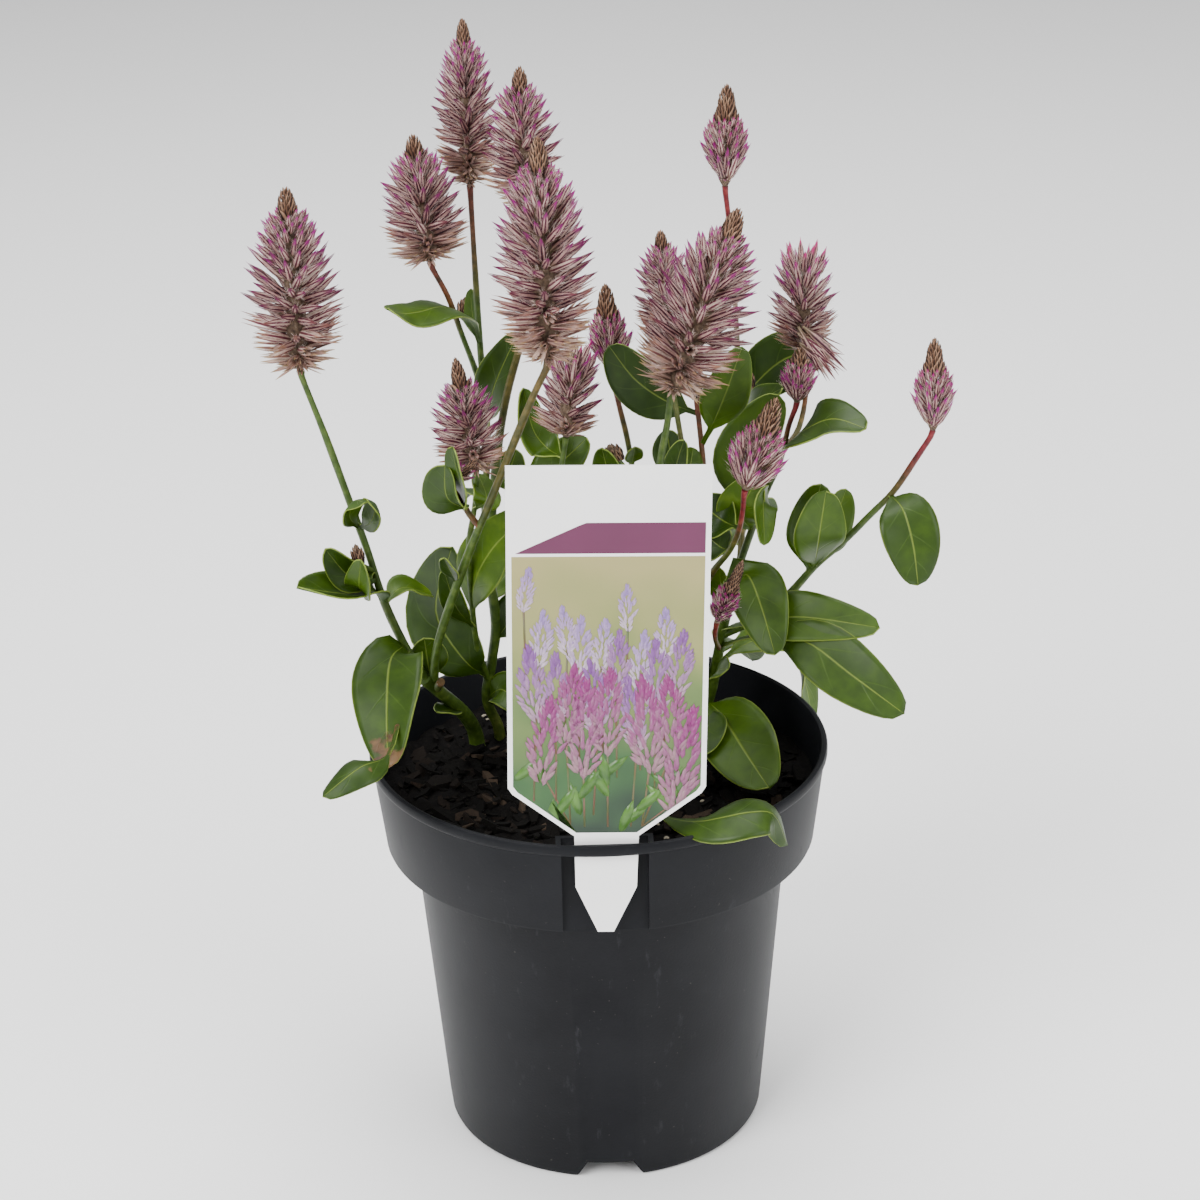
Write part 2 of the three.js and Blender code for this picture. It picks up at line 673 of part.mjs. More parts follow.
        face: [-0.4, -0.7, 0.6] },
      { on: "c_orange", from: [612, 600], via: [[600, 580, 36]], tip: [575, 556, 44], wide: 17,
        face: [-0.2, 0.6, 0.8] },
      { on: "c_orange", from: [630, 520], via: [[644, 506, 36]], tip: [668, 500, 44], wide: 16,
        face: [0.2, 0.5, 0.8] },
      { on: "c_leaning", from: [648, 555], via: [[632, 540, -16]], tip: [606, 548, -26], wide: 16,
        face: [-0.2, -0.6, 0.8] },
      { on: "c_trunk", from: [598, 700], via: [[574, 700, 8]], tip: [548, 740, -6], wide: 17,
        face: [-0.2, -0.7, 0.8] },
    ],
  },
  shoot_right: {
    stems: {
      d_trunk: {
        root: [31, 30],
        route: [[707, 700, 28], [716, 665, 23], [723, 628, 17], [731, 598, 13], [741, 560, 11]],
        thick: [2.4, 1.3],
      },
      d_mauve: {
        on: "d_trunk",
        from: [741, 562],
        route: [[756, 518, 10], [768, 487, 8], [778, 466, 6], [784, 447, 4], [789, 425, 2]],
        bears: "spike_tucked",
        thick: [1.15, 0.8],
      },
      d_shed: {
        on: "d_mauve",
        from: [783, 450],
        route: [[798, 430, 11], [806, 392, 15]],
        bears: "spike_shedding",
        thick: [0.9, 0.8],
      },
      d_back: {
        on: "d_trunk",
        from: [724, 624],
        route: [[740, 560, 34], [741, 480, 42], [738, 420, 45], [737, 340, 45], [731, 240, 45]],
        bears: "spike_slender",
        thick: [1.15, 0.75],
      },
      d_wide: {
        on: "d_trunk",
        from: [721, 636],
        route: [
          [756, 619, 13],
          [789, 594, 8],
          [815, 566, 5],
          [842, 543, 3],
          [870, 515, 2],
          [893, 492, 1],
          [915, 460, 0],
        ],
        bears: "spike_far_right",
        thick: [1.35, 0.8],
      },
      d_blunt: {
        on: "d_trunk",
        from: [708, 696],
        route: [[702, 640, 18], [703, 570, 11], [705, 510, 8], [703, 462, 8], [699, 422, 8]],
        bears: "bud_blunt",
        thick: [1.4, 0.85],
      },
      d_pink: {
        on: "d_blunt",
        from: [702, 590],
        route: [[714, 570, 3], [730, 550, -4], [739, 530, -9], [743, 508, -14]],
        bears: "spike_pink",
        thick: [1, 0.8],
      },
      d_small: { on: "d_trunk", from: [719, 648], route: [[715, 637, -2]], bears: "spike_tiny",
        thick: [0.8, 0.75] },
      d_bud: { on: "d_back", from: [738, 402], route: [[747, 394, 38]], bears: "bud_right",
        thick: [0.75, 0.7] },
    },
    leaves: [
      { on: "d_trunk", from: [733, 592], via: [[748, 576, -4], [761, 606, -13]], tip: [775, 655, -20],
        wide: 18, face: [0.15, -0.85, 0.5], fold: 8, stalk: 0.04, fullest: 0.5 },
      { on: "d_trunk", from: [723, 630], via: [[752, 622, -4], [798, 617, -10]], tip: [880, 628, -16],
        wide: 16.5, face: [0, -0.7, 0.75], fold: 8, stalk: 0.3, fullest: 0.5 },
      { on: "d_trunk", from: [720, 645], via: [[762, 636, -6], [806, 642, -16], [850, 674, -24]],
        tip: [904, 714, -32], wide: 19, face: [-0.05, -0.8, 0.6], fold: 6, stalk: 0.3, fullest: 0.52 },
      { on: "d_trunk", from: [716, 664], via: [[750, 644, 28], [790, 643, 40], [813, 676, 48]],
        tip: [822, 722, 46], wide: 17, face: [0.4, -0.3, 0.85], fold: 12, stalk: 0.1 },
      { on: "d_wide", from: [810, 570], via: [[800, 540, -4]], tip: [821, 486, -4], wide: 16,
        face: [-0.3, -0.9, 0.2], fold: 18, stalk: 0.06 },
      { on: "d_wide", from: [818, 564], via: [[832, 536, -12]], tip: [828, 492, -14], wide: 16,
        face: [0.15, -0.95, 0.2], fold: 10, stalk: 0.06 },
      { on: "d_wide", from: [826, 557], via: [[842, 535, 14]], tip: [846, 489, 16], wide: 14,
        face: [0.3, -0.9, 0.1], fold: 12, stalk: 0.06 },
      { on: "d_wide", from: [891, 495], via: [[903, 510, -8], [913, 545, -12]], tip: [918, 585, -14],
        wide: 17.5, face: [0.05, -0.9, 0.4], fold: 4, stalk: 0.05, fullest: 0.5 },
      { on: "d_mauve", from: [782, 454], via: [[800, 440, -6], [830, 424, -12]], tip: [866, 428, -18],
        wide: 18, face: [0, -0.75, 0.7], fold: 10, stalk: 0.08 },
      { on: "d_mauve", from: [752, 530], via: [[741, 512, 2]], tip: [758, 478, 0], wide: 15,
        face: [-0.3, -0.9, 0.2], fold: 12, stalk: 0.05 },
      { on: "d_mauve", from: [768, 488], via: [[763, 504, -4]], tip: [764, 545, -8], wide: 9,
        face: [0.5, -0.8, 0.1], fold: 20, stalk: 0.05 },
      { on: "d_mauve", from: [757, 516], via: [[742, 462, 16]], tip: [779, 395, 20], wide: 18,
        face: [-0.1, -0.95, 0.2], fold: 8, stalk: 0.08 },
      { on: "d_back", from: [739, 426], tip: [766, 403, 34], wide: 7, face: [0, -0.8, 0.6], arch: 2 },
      { on: "d_back", from: [738, 408], via: [[757, 382, 50], [787, 358, 46]], tip: [832, 350, 40],
        wide: 18, face: [-0.1, -0.9, 0.4], fold: 8, stalk: 0.05, fullest: 0.55 },
      { on: "d_back", from: [738, 426], via: [[753, 405, 30]], tip: [783, 388, 22], wide: 9,
        face: [0, -0.7, 0.7], fold: 16 },
      { on: "d_pink", from: [740, 528], via: [[722, 520, 2]], tip: [696, 500, 4], wide: 15,
        face: [-0.2, -0.85, 0.5] },
      { on: "d_pink", from: [732, 548], via: [[722, 548, 8]], tip: [700, 530, 16], wide: 12,
        face: [-0.2, -0.8, 0.6] },
      { on: "d_trunk", from: [726, 614], tip: [720, 568, 6], wide: 9, face: [-0.5, -0.8, 0.2], arch: 1 },
      { on: "d_trunk", from: [707, 700], via: [[722, 716, 12], [745, 752, -8]], tip: [769, 788, -22],
        wide: 23, face: [-0.1, -0.7, 0.75], fold: 5, stalk: 0.08, fullest: 0.5 },
      { on: "d_trunk", from: [703, 716], via: [[704, 726, 6]], tip: [699, 756, -10], wide: 15,
        face: [-0.1, -0.8, 0.6] },
      { on: "d_trunk", from: [713, 676], tip: [728, 669, 6], wide: 9, face: [-0.2, -0.7, 0.7], arch: 2 },
      { on: "d_blunt", from: [697, 414], via: [[668, 402, 9], [636, 380, 9]], tip: [609, 346, 7],
        wide: 16, face: [-0.1, -0.9, 0.3], fold: 8, stalk: 0.1 },
      { on: "d_blunt", from: [703, 446], via: [[714, 421, 2], [726, 392, -3]], tip: [742, 347, -6],
        wide: 14, face: [0.1, -0.95, 0.2], fold: 8, stalk: 0.22 },
      { on: "d_back", from: [741, 500], via: [[756, 492, 56]], tip: [784, 500, 68], wide: 17,
        face: [0.2, 0.5, 0.8] },
      { on: "d_back", from: [740, 545], via: [[724, 536, 48]], tip: [700, 540, 60], wide: 16,
        face: [-0.2, 0.5, 0.8] },
      { on: "d_trunk", from: [718, 655], via: [[736, 640, 46]], tip: [752, 660, 62], wide: 17,
        face: [0.2, 0.5, 0.8] },
    ],
  },
  shoot_front: {
    stems: {
      e_trunk: { root: [13, -24], route: [[640, 800, -26], [637, 770, -27]], thick: [1.5, 1] },
    },
    leaves: [
      { on: "e_trunk", from: [640, 800],
        via: [[670, 806, -46], [703, 809, -56], [742, 808, -61], [774, 818, -58]], tip: [787, 846, -57],
        wide: 16, face: [0.1, -0.3, 0.95], fold: -40, stalk: 0.12, fullest: 0.62 },
      { on: "e_trunk", from: [638, 775], tip: [606, 772, -38], wide: 13, face: [-0.1, -0.6, 0.8], arch: 3 },
      { on: "e_trunk", from: [638, 772], tip: [650, 742, -12], wide: 13, face: [0.1, -0.6, 0.8], arch: 3 },
    ],
  },
};

// Flower spikes: foot and tip in the view, greatest radius over the florets, and how many florets
const SPIKES = {
  spike_left: { foot: [300, 370, -5], tip: [285, 185, -12], radius: 15, florets: 31, seed: 11 },
  spike_side: { foot: [430, 262, 15], tip: [412, 133, 15], radius: 14, florets: 25, seed: 12 },
  spike_tall: { foot: [470, 185, 30], tip: [462, 17, 30], radius: 11, florets: 28, seed: 13 },
  spike_behind: { foot: [525, 208, 10], tip: [519, 65, 6], radius: 12.5, florets: 25, seed: 14 },
  spike_great: { foot: [548, 362, -45], tip: [537, 135, -50], radius: 15.5, florets: 38, seed: 15,
    bud: 0.16 },
  spike_slender: { foot: [725, 186, 45], tip: [727, 83, 45], radius: 8.3, florets: 17, seed: 16,
    shape: "young", bud: 0.3 },
  spike_screened: { foot: [669, 340, 16], tip: [660, 229, 16], radius: 10.5, florets: 18, seed: 17 },
  spike_leaning: { foot: [672, 392, -25], tip: [740, 207, -25], radius: 16.5, florets: 35, seed: 18 },
  spike_shedding: { foot: [803, 351, 12], tip: [803, 240, 12], radius: 11.8, florets: 21, seed: 19,
    bud: 0.08 },
  spike_tucked: { foot: [797, 402, 0], tip: [800, 347, -2], radius: 6.4, florets: 11, seed: 20,
    shape: "young", bud: 0.2 },
  spike_far_right: { foot: [933, 430, 0], tip: [935, 337, 0], radius: 7.4, florets: 14, seed: 21,
    shape: "young", bud: 0.26 },
  spike_pink: { foot: [745, 490, -18], tip: [777, 397, -18], radius: 9.4, florets: 17, seed: 22,
    shape: "young", bud: 0.3 },
  spike_tiny: { foot: [717, 622, -14], tip: [743, 560, -24], radius: 5, florets: 10, seed: 23,
    shape: "young", bud: 0.4 },
  spike_orange: { foot: [611, 372, 20], tip: [605, 283, 20], radius: 7.6, florets: 15, seed: 24,
    shape: "young", bud: 0.28 },
  spike_low: { foot: [476, 471, 0], tip: [455, 357, -4], radius: 12.5, florets: 24, seed: 25, bud: 0.24 },
  spike_under: { foot: [566, 437, -8], tip: [574, 338, -8], radius: 11.4, florets: 20, seed: 26 },
  spike_nodding: { foot: [455, 481, -27], tip: [478, 458, -27], radius: 3.6, florets: 0, seed: 27,
    shape: "young", bud: 0.7 },
};

// Closed buds in the leaf axils, on or beside the end of a stem
const BUDS = {
  bud_left: { foot: [359, 561, -10], tip: [355, 544, -10], radius: 2.2 },
  bud_back: { foot: [463, 314, 37], tip: [465, 297, 37], radius: 2.3 },
  bud_middle: { foot: [617, 458, 10], tip: [608, 445, 8], radius: 3 },
  bud_right: { foot: [750, 384, 36], tip: [748, 371, 36], radius: 1.9 },
  bud_blunt: { foot: [696, 396, 8], tip: [694, 378, 8], radius: 2.2 },
};

function makeShoot(shoot) {
  const curves = {};
  const stems = Object.entries(shoot.stems).map(([name, row]) => {
    const made = makeStem(row, curves);
    curves[name] = made.curve;
    return made.solid;
  });
  return joined([...stems, ...shoot.leaves.map((row) => makeLeaf(row, curves))]).simplify(SLIVER);
}

function makeBud({ foot, tip, radius }) {
  const low = seen(foot);
  const high = seen(tip);
  const length = low.distanceTo(high);
  const shares = [[0.03, 0.6], [0.25, 1], [0.38, 0.88], [0.55, 0.92], [0.68, 0.66], [0.84, 0.5]];
  const profile = [[0, GAP], ...shares.map(([s, r]) => [radius * r, GAP + s * (length - GAP)]), [0, length]];
  const upright = new THREE.Quaternion().setFromUnitVectors(
    new THREE.Vector3(0, 0, 1),
    high.clone().sub(low).normalize(),
  );
  return { made: solid(turned(profile, 6)), foot: low, upright };
}

const plant = new THREE.Group();

function add(name, geometry, material) {
  const mesh = new THREE.Mesh(geometry, material);
  mesh.name = name;
  plant.add(mesh);
  return mesh;
}

function stand(mesh, { foot, upright }) {
  mesh.position.copy(foot);
  mesh.quaternion.copy(upright);
}

const turn = THREE.MathUtils.degToRad(POT_TURN);
const rootHoles = Object.values(SHOOTS).map(({ stems }) => {
  const { root, thick } = Object.values(stems)[0];
  const r = thick[0] + 3 * GAP;
  return solid(
    new THREE.CylinderGeometry(r, r, 2 * ROOT_DEPTH, 10)
      .rotateX(Math.PI / 2)
      .translate(root[0], root[1], SOIL_Z - GAP)
      .rotateZ(-turn),
  );
});

add("pot", geometryOf(makePot()), POT_GREY).rotation.z = turn;
add("soil", geometryOf(makeSoil(rootHoles)), SOIL_BROWN).rotation.z = turn;
add("plant_tag", makeTag(), TAG_WHITE).rotation.z = turn;
for (const [name, shoot] of Object.entries(SHOOTS)) add(name, geometryOf(makeShoot(shoot)), LEAF_GREEN);
for (const [name, row] of Object.entries(SPIKES)) {
  const spike = makeSpike(row);
  stand(add(name, geometryOf(spike.made), BLOOM_MAUVE), spike);
}
for (const [name, row] of Object.entries(BUDS)) {
  const bud = makeBud(row);
  stand(add(name, geometryOf(bud.made), BUD_BROWN), bud);
}

export default plant;
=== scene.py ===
"""Looks of a potted mulla mulla: pot, potting mix, plant tag, leafy stems and flower spikes.

The plant's tables are those of the part's source, but for a few leaves that are bent anew here. A place in
them is a point in a 1200 x 1200 picture of the plant, with its depth behind the pot's axis in millimetres.
Meshes are made in metres.
"""

import functools
import math
import random

import bpy
import numpy as np
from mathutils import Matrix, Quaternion, Vector, noise


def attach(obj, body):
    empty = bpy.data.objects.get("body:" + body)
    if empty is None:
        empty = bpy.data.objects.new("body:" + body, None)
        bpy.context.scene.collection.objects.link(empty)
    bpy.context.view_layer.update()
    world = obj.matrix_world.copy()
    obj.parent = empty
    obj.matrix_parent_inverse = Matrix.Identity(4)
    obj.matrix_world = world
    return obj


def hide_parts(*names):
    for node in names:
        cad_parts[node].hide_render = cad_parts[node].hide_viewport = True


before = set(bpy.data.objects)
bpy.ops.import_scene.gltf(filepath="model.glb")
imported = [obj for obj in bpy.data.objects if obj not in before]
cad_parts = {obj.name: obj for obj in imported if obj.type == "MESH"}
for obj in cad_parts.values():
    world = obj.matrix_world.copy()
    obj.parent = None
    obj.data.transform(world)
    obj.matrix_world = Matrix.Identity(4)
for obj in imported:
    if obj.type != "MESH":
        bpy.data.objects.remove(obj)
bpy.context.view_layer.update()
bpy.ops.object.select_all(action="DESELECT")

MM = 0.001

# Pot, as in the part's source, in mm
RIM_R = 70
POT_H = 126
BASE_R = 49.5
NECK_R = 57.5
BAND_R = 66
SHOULDER_Z = 95.5
WALL = 1.5
BEAD_H = 3.3
BEAD_OUT = 0.7
POT_TURN = math.radians(1)
SLOT_W = 25
SLOT_FACE_Y = -63.4
CHANNELS = 4
CHANNEL_H = 6
CHANNEL_W_LOW = 22
CHANNEL_W_HIGH = 14
CHANNEL_START_R = 22
DRAIN_R = 4
DRAIN_AT_R = 36
SOIL_Z = 111
ROOT_DEPTH = 13

# Plant tag, as in the part's source
TAG_FRONT_Y = -66.8
TAG_CENTRE_X = 0.6
TAG_LEAN = math.radians(-1.4)
TAG_PANEL_W = 56
TAG_TOP_Z = 240.5
TAG_SHOULDER_Z = 143.5
TAG_NECK_Z = 128
TAG_NECK_W = 18.4

# The view that the plant is placed by, which is also the camera's
FOCAL = 2911
EYE = Vector((0, -800, 519))
AIM = Vector((0, 0, 172.3))
ROLL = -0.022
CENTRE = (595.2, 600)
PICTURE = 1200
AHEAD = (AIM - EYE).normalized()
RIGHT = Vector((1, 0, 0))
UP = RIGHT.cross(AHEAD)


def seen(place):
    """The point, in mm, of a place in the view with its depth."""
    px, py, depth = place
    a = (px - CENTRE[0]) / FOCAL
    b = (py - CENTRE[1]) / FOCAL
    c, s = math.cos(ROLL), math.sin(ROLL)
    ray = AHEAD + (c * a + s * b) * RIGHT + (s * a - c * b) * UP
    return EYE + ray * ((depth - EYE.y) / ray.y)


def pictured(points):
    """Where points in mm lie in the view."""
    d = np.asarray(points, float) - np.array(EYE)
    far = d @ np.array(AHEAD)
    x = FOCAL * (d @ np.array(RIGHT)) / far
    y = -FOCAL * (d @ np.array(UP)) / far
    c, s = math.cos(ROLL), math.sin(ROLL)
    return np.stack([CENTRE[0] + c * x - s * y, CENTRE[1] + s * x + c * y], -1)


# Plant

def leaf(on, near, tip, wide, face, via=(), arch=0, fold=14, stalk=0.12, fullest=0.52):
    """A leaf on a stem. Its line runs by way of via, or bows by arch, and its upper side looks along face.

    stalk and fullest are shares of its length: where the blade begins, and where it is wide across."""
    line = {"on": on, "near": near, "tip": tip, "via": via, "arch": arch}
    return {**line, "wide": wide, "face": face, "fold": fold, "stalk": stalk, "fullest": fullest}


# A stem stands in the mix at its root or grows on another one, near a place, and may bear a spike or a bud
SHOOTS = {
    "shoot_left": {
        "stems": {
            "a_trunk": {"root": (-38.5, 27), "thick": (2.6, 2.1), "route": [(466, 716, 20),
                (438, 690, 10), (424, 678, 5)]},
            "a_long": {"on": "a_trunk", "near": (429, 684), "bears": "spike_left", "thick": (1.4, 0.9),
                "route": [(410, 655, 1), (385, 604, -3), (368, 552, -5), (349, 500, -6),
                (325, 435, -6)]},
            "a_front": {"on": "a_trunk", "near": (433, 687), "bears": "spike_great", "thick": (1.45, 1),
                "route": [(436, 652, 0), (450, 605, -9), (470, 550, -19), (492, 497, -29),
                (515, 440, -37), (535, 392, -43)]},
            "a_nodding": {"on": "a_front", "near": (478, 527), "bears": "spike_nodding",
                "thick": (0.9, 0.75), "route": [(469, 514, -24), (461, 498, -26)]},
            "a_bud": {"on": "a_long", "near": (371, 574), "bears": "bud_left", "thick": (0.8, 0.7),
                "route": []},
            "a_stub": {"on": "a_trunk", "near": (436, 690), "thick": (1.4, 1.2),
                "route": [(441, 682, -1)]},
        },
        "leaves": [
            leaf("a_long", near=(404, 645), tip=(388, 767, -52), wide=21.5, face=(-0.15, -0.95, 0.3),
                via=[(391, 660, -16), (387, 708, -34)], fold=7, stalk=0.02, fullest=0.46),
            leaf("a_long", near=(406, 650), tip=(323, 797, -73), wide=11.5, face=(-0.35, -0.6, 0.7),
                via=[(401, 700, -28), (386, 757, -58), (360, 768, -67)], fold=-22, stalk=0.5,
                fullest=0.45),
            leaf("a_trunk", near=(430, 684), tip=(424, 638, 5), wide=13, face=(0.3, -0.9, 0.2)),
            leaf("a_long", near=(384, 606), tip=(297, 588, -24), wide=17, face=(-0.1, -0.35, 0.95),
                via=[(374, 592, -8), (345, 594, -16)], fold=26, stalk=0.1),
            leaf("a_long", near=(386, 603), tip=(432, 596, 10), wide=10, face=(0, -0.3, 1),
                via=[(402, 588, 4)], fold=20),
            leaf("a_long", near=(372, 572), tip=(325, 549, -18), wide=11, face=(-0.2, -0.8, 0.6),
                via=[(352, 577, -12)], fold=22, stalk=0.05),
            leaf("a_long", near=(374, 580), tip=(361, 560, -27), wide=9, face=(-0.3, -0.9, 0.2),
                via=[(360, 588, -20)], stalk=0.05),
            leaf("a_long", near=(357, 527), tip=(365, 503, -22), wide=8, face=(0.6, -0.5, -0.5),
                via=[(349, 516, -14), (354, 501, -18)], fold=20, stalk=0.05),
            leaf("a_long", near=(358, 528), tip=(366, 499, -20), wide=8, face=(-0.8, -0.5, -0.4),
                via=[(371, 522, -12), (376, 505, -16)], fold=20, stalk=0.05),
            leaf("a_front", near=(457, 584), tip=(444, 558, -22), wide=6, face=(-0.4, -0.9, 0.3)),
            leaf("a_nodding", near=(466, 509), tip=(445, 465, -33), wide=15, face=(-0.5, -0.8, 0.3),
                via=[(448, 498, -30)], fold=20, stalk=0.05),
            leaf("a_nodding", near=(466, 509), tip=(452, 447, -36), wide=10, face=(-0.8, -0.6, 0.2),
                via=[(462, 488, -34)], fold=18, stalk=0.05),
            leaf("a_trunk", near=(458, 712), tip=(437, 712, 4), wide=8, face=(-0.2, -0.7, 0.7),
                stalk=0.05),
        ],
    },
    "shoot_back": {
        "stems": {
            "b_trunk": {"root": (-31.5, 33), "bears": "spike_behind", "thick": (1.9, 0.95),
                "route": [(487, 700, 30), (492, 660, 27), (496, 625, 25), (491, 580, 22),
                (491, 540, 20), (494, 490, 18), (499, 440, 16), (508, 390, 14), (521, 340, 12),
                (527, 280, 11)]},
            "b_tall": {"on": "b_trunk", "near": (490, 560), "bears": "spike_tall",
                "thick": (1.15, 0.85), "route": [(485, 515, 24), (487, 460, 27), (487, 420, 28),
                (482, 370, 29), (477, 300, 30)]},
            "b_side": {"on": "b_tall", "near": (486, 402), "bears": "spike_side", "thick": (0.95, 0.8),
                "route": [(474, 366, 23), (462, 335, 19), (448, 297, 16)]},
            "b_low": {"on": "b_trunk", "near": (489, 682), "bears": "spike_low", "thick": (1.1, 0.8),
                "route": [(478, 650, 20), (471, 594, 12), (469, 545, 6), (475, 503, 2)]},
            "b_bud": {"on": "b_tall", "near": (478, 338), "bears": "bud_back", "thick": (0.8, 0.7),
                "route": [(469, 326, 35)]},
        },
        "leaves": [
            leaf("b_low", near=(483, 676), tip=(452, 547, 18), wide=21, face=(-0.35, -0.8, 0.5),
                via=[(468, 664, 20), (437, 616, 24)], fold=10, stalk=0.12, fullest=0.56),
            leaf("b_tall", near=(478, 346), tip=(387, 309, -6), wide=15, face=(-0.1, -0.4, 0.95),
                via=[(472, 322, 22), (456, 310, 14), (438, 307, 7), (420, 312, 2), (402, 314, -2)],
                fold=-5, stalk=0.08),
            leaf("b_tall", near=(478, 340), tip=(471, 289, 36), wide=6, face=(-0.6, -0.7, 0), arch=1),
            leaf("b_tall", near=(487, 430), tip=(518, 333, 18), wide=13, face=(-0.5, -0.8, 0.1),
                via=[(494, 388, 20)], fold=24, stalk=0.1),
            leaf("b_low", near=(473, 622), tip=(530, 512, 2), wide=18, face=(-0.4, -0.75, 0.5),
                via=[(474, 586, 10), (490, 552, 6)], fold=10),
            leaf("b_low", near=(473, 628), tip=(444, 570, -2), wide=8, face=(-0.2, -0.9, 0.3),
                via=[(456, 606, 4)]),
            leaf("b_trunk", near=(495, 486), tip=(517, 450, 28), wide=12, face=(-0.2, -0.9, 0.3),
                via=[(506, 478, 26)]),
            leaf("b_low", near=(475, 508), tip=(478, 474, 12), wide=9, face=(0.3, -0.9, 0.3),
                via=[(486, 500, -4)]),
            leaf("b_trunk", near=(496, 640), tip=(545, 600, 16), wide=15, face=(0.1, -0.8, 0.6),
                via=[(514, 618, 22)]),
            leaf("b_trunk", near=(488, 696), tip=(524, 712, 14), wide=13, face=(0.2, -0.8, 0.6),
                via=[(503, 690, 22)]),
            leaf("b_trunk", near=(492, 602), tip=(520, 560, 44), wide=14, face=(0.2, 0.7, 0.7),
                via=[(498, 585, 34)], fold=16),
            leaf("b_tall", near=(486, 500), tip=(455, 505, 50), wide=14, face=(-0.3, 0.6, 0.8),
                via=[(476, 488, 38)], fold=16),
        ],
    },
    "shoot_middle": {
        "stems": {
            "c_trunk": {"root": (-2, 24), "thick": (2.3, 1.8), "route": [(598, 715, 22),
                (594, 680, 20)]},
            "c_left": {"on": "c_trunk", "near": (597, 705), "bears": "spike_under",
                "thick": (1.4, 0.85), "route": [(590, 640, 14), (576, 560, 4), (564, 500, -3),
                (562, 466, -6)]},
            "c_orange": {"on": "c_trunk", "near": (595, 690), "bears": "spike_orange",
                "thick": (1.2, 0.75), "route": [(606, 620, 24), (626, 545, 25), (633, 490, 24),
                (629, 448, 22), (619, 405, 21)]},
            "c_leaning": {"on": "c_trunk", "near": (598, 712), "bears": "spike_leaning",
                "thick": (1.5, 1), "route": [(626, 640, 10), (645, 570, -4), (656, 510, -13),
                (660, 464, -18), (667, 425, -22)]},
            "c_hidden": {"on": "c_leaning", "near": (627, 638), "bears": "spike_screened",
                "thick": (1.1, 0.8), "route": [(660, 580, 4), (680, 520, 2), (684, 464, 0),
                (677, 415, -3), (671, 378, 5)]},
            "c_bud": {"on": "c_orange", "near": (632, 485), "bears": "bud_middle", "thick": (0.9, 0.8),
                "route": [(626, 470, 14)]},
        },
        "leaves": [
            leaf("c_left", near=(562, 458), tip=(523, 388, 4), wide=12, face=(0.3, -0.9, 0.3),
                via=[(547, 448, 2), (534, 432, 3)], fold=24, stalk=0.08, fullest=0.45),
            leaf("c_left", near=(566, 512), tip=(587, 438, 10), wide=15, face=(-0.3, -0.8, 0.5),
                via=[(552, 478, 6)]),
            leaf("c_bud", near=(622, 465), tip=(602, 448, -4), wide=9, face=(-0.2, -0.95, 0.1),
                via=[(609, 470, 1)], stalk=0.05),
            leaf("c_orange", near=(631, 464), tip=(635, 447, 14), wide=6, face=(0.2, -0.95, 0.1)),
            leaf("c_hidden", near=(684, 480), tip=(667, 430, 10), wide=11, face=(-0.2, -0.9, 0.2),
                via=[(672, 458, 8)]),
            leaf("c_hidden", near=(683, 490), tip=(684, 440, -10), wide=8, face=(-0.4, -0.9, 0.2),
                via=[(676, 470, -8)], fold=20),
            leaf("c_hidden", near=(684, 484), tip=(693, 448, 8), wide=8, face=(0.3, -0.9, 0.1), arch=1),
            leaf("c_left", near=(570, 540), tip=(528, 490, 12), wide=15, face=(-0.4, -0.7, 0.6),
                via=[(552, 530, 10)]),
            leaf("c_orange", near=(612, 600), tip=(575, 556, 44), wide=17, face=(-0.2, 0.6, 0.8),
                via=[(600, 580, 36)]),
            leaf("c_orange", near=(630, 520), tip=(668, 500, 44), wide=16, face=(0.2, 0.5, 0.8),
                via=[(644, 506, 36)]),
            leaf("c_leaning", near=(648, 555), tip=(606, 548, -26), wide=16, face=(-0.2, -0.6, 0.8),
                via=[(632, 540, -16)]),
            leaf("c_trunk", near=(598, 700), tip=(548, 740, -6), wide=17, face=(-0.2, -0.7, 0.8),
                via=[(574, 700, 8)]),
        ],
    },
    "shoot_right": {
        "stems": {
            "d_trunk": {"root": (31, 30), "thick": (2.4, 1.3), "route": [(707, 700, 28), (716, 665, 23),
                (723, 628, 17), (731, 598, 13), (741, 560, 11)]},
            "d_mauve": {"on": "d_trunk", "near": (741, 562), "bears": "spike_tucked",
                "thick": (1.15, 0.8), "route": [(756, 518, 10), (768, 487, 8), (778, 466, 6),
                (784, 447, 4), (789, 425, 2)]},
            "d_shed": {"on": "d_mauve", "near": (783, 450), "bears": "spike_shedding",
                "thick": (0.9, 0.8), "route": [(798, 430, 11), (806, 392, 15)]},
            "d_back": {"on": "d_trunk", "near": (724, 624), "bears": "spike_slender",
                "thick": (1.15, 0.75), "route": [(740, 560, 34), (741, 480, 42), (738, 420, 45),
                (737, 340, 45), (731, 240, 45)]},
            "d_wide": {"on": "d_trunk", "near": (721, 636), "bears": "spike_far_right",
                "thick": (1.35, 0.8), "route": [(756, 619, 13), (789, 594, 8), (815, 566, 5),
                (842, 543, 3), (870, 515, 2), (893, 492, 1), (915, 460, 0)]},
            "d_blunt": {"on": "d_trunk", "near": (708, 696), "bears": "bud_blunt", "thick": (1.4, 0.85),
                "route": [(702, 640, 18), (703, 570, 11), (705, 510, 8), (703, 462, 8), (699, 422, 8)]},
            "d_pink": {"on": "d_blunt", "near": (702, 590), "bears": "spike_pink", "thick": (1, 0.8),
                "route": [(714, 570, 3), (730, 550, -4), (739, 530, -9), (743, 508, -14)]},
            "d_small": {"on": "d_trunk", "near": (719, 648), "bears": "spike_tiny",
                "thick": (0.8, 0.75), "route": [(715, 637, -2)]},
            "d_bud": {"on": "d_back", "near": (738, 402), "bears": "bud_right", "thick": (0.75, 0.7),
                "route": [(747, 394, 38)]},
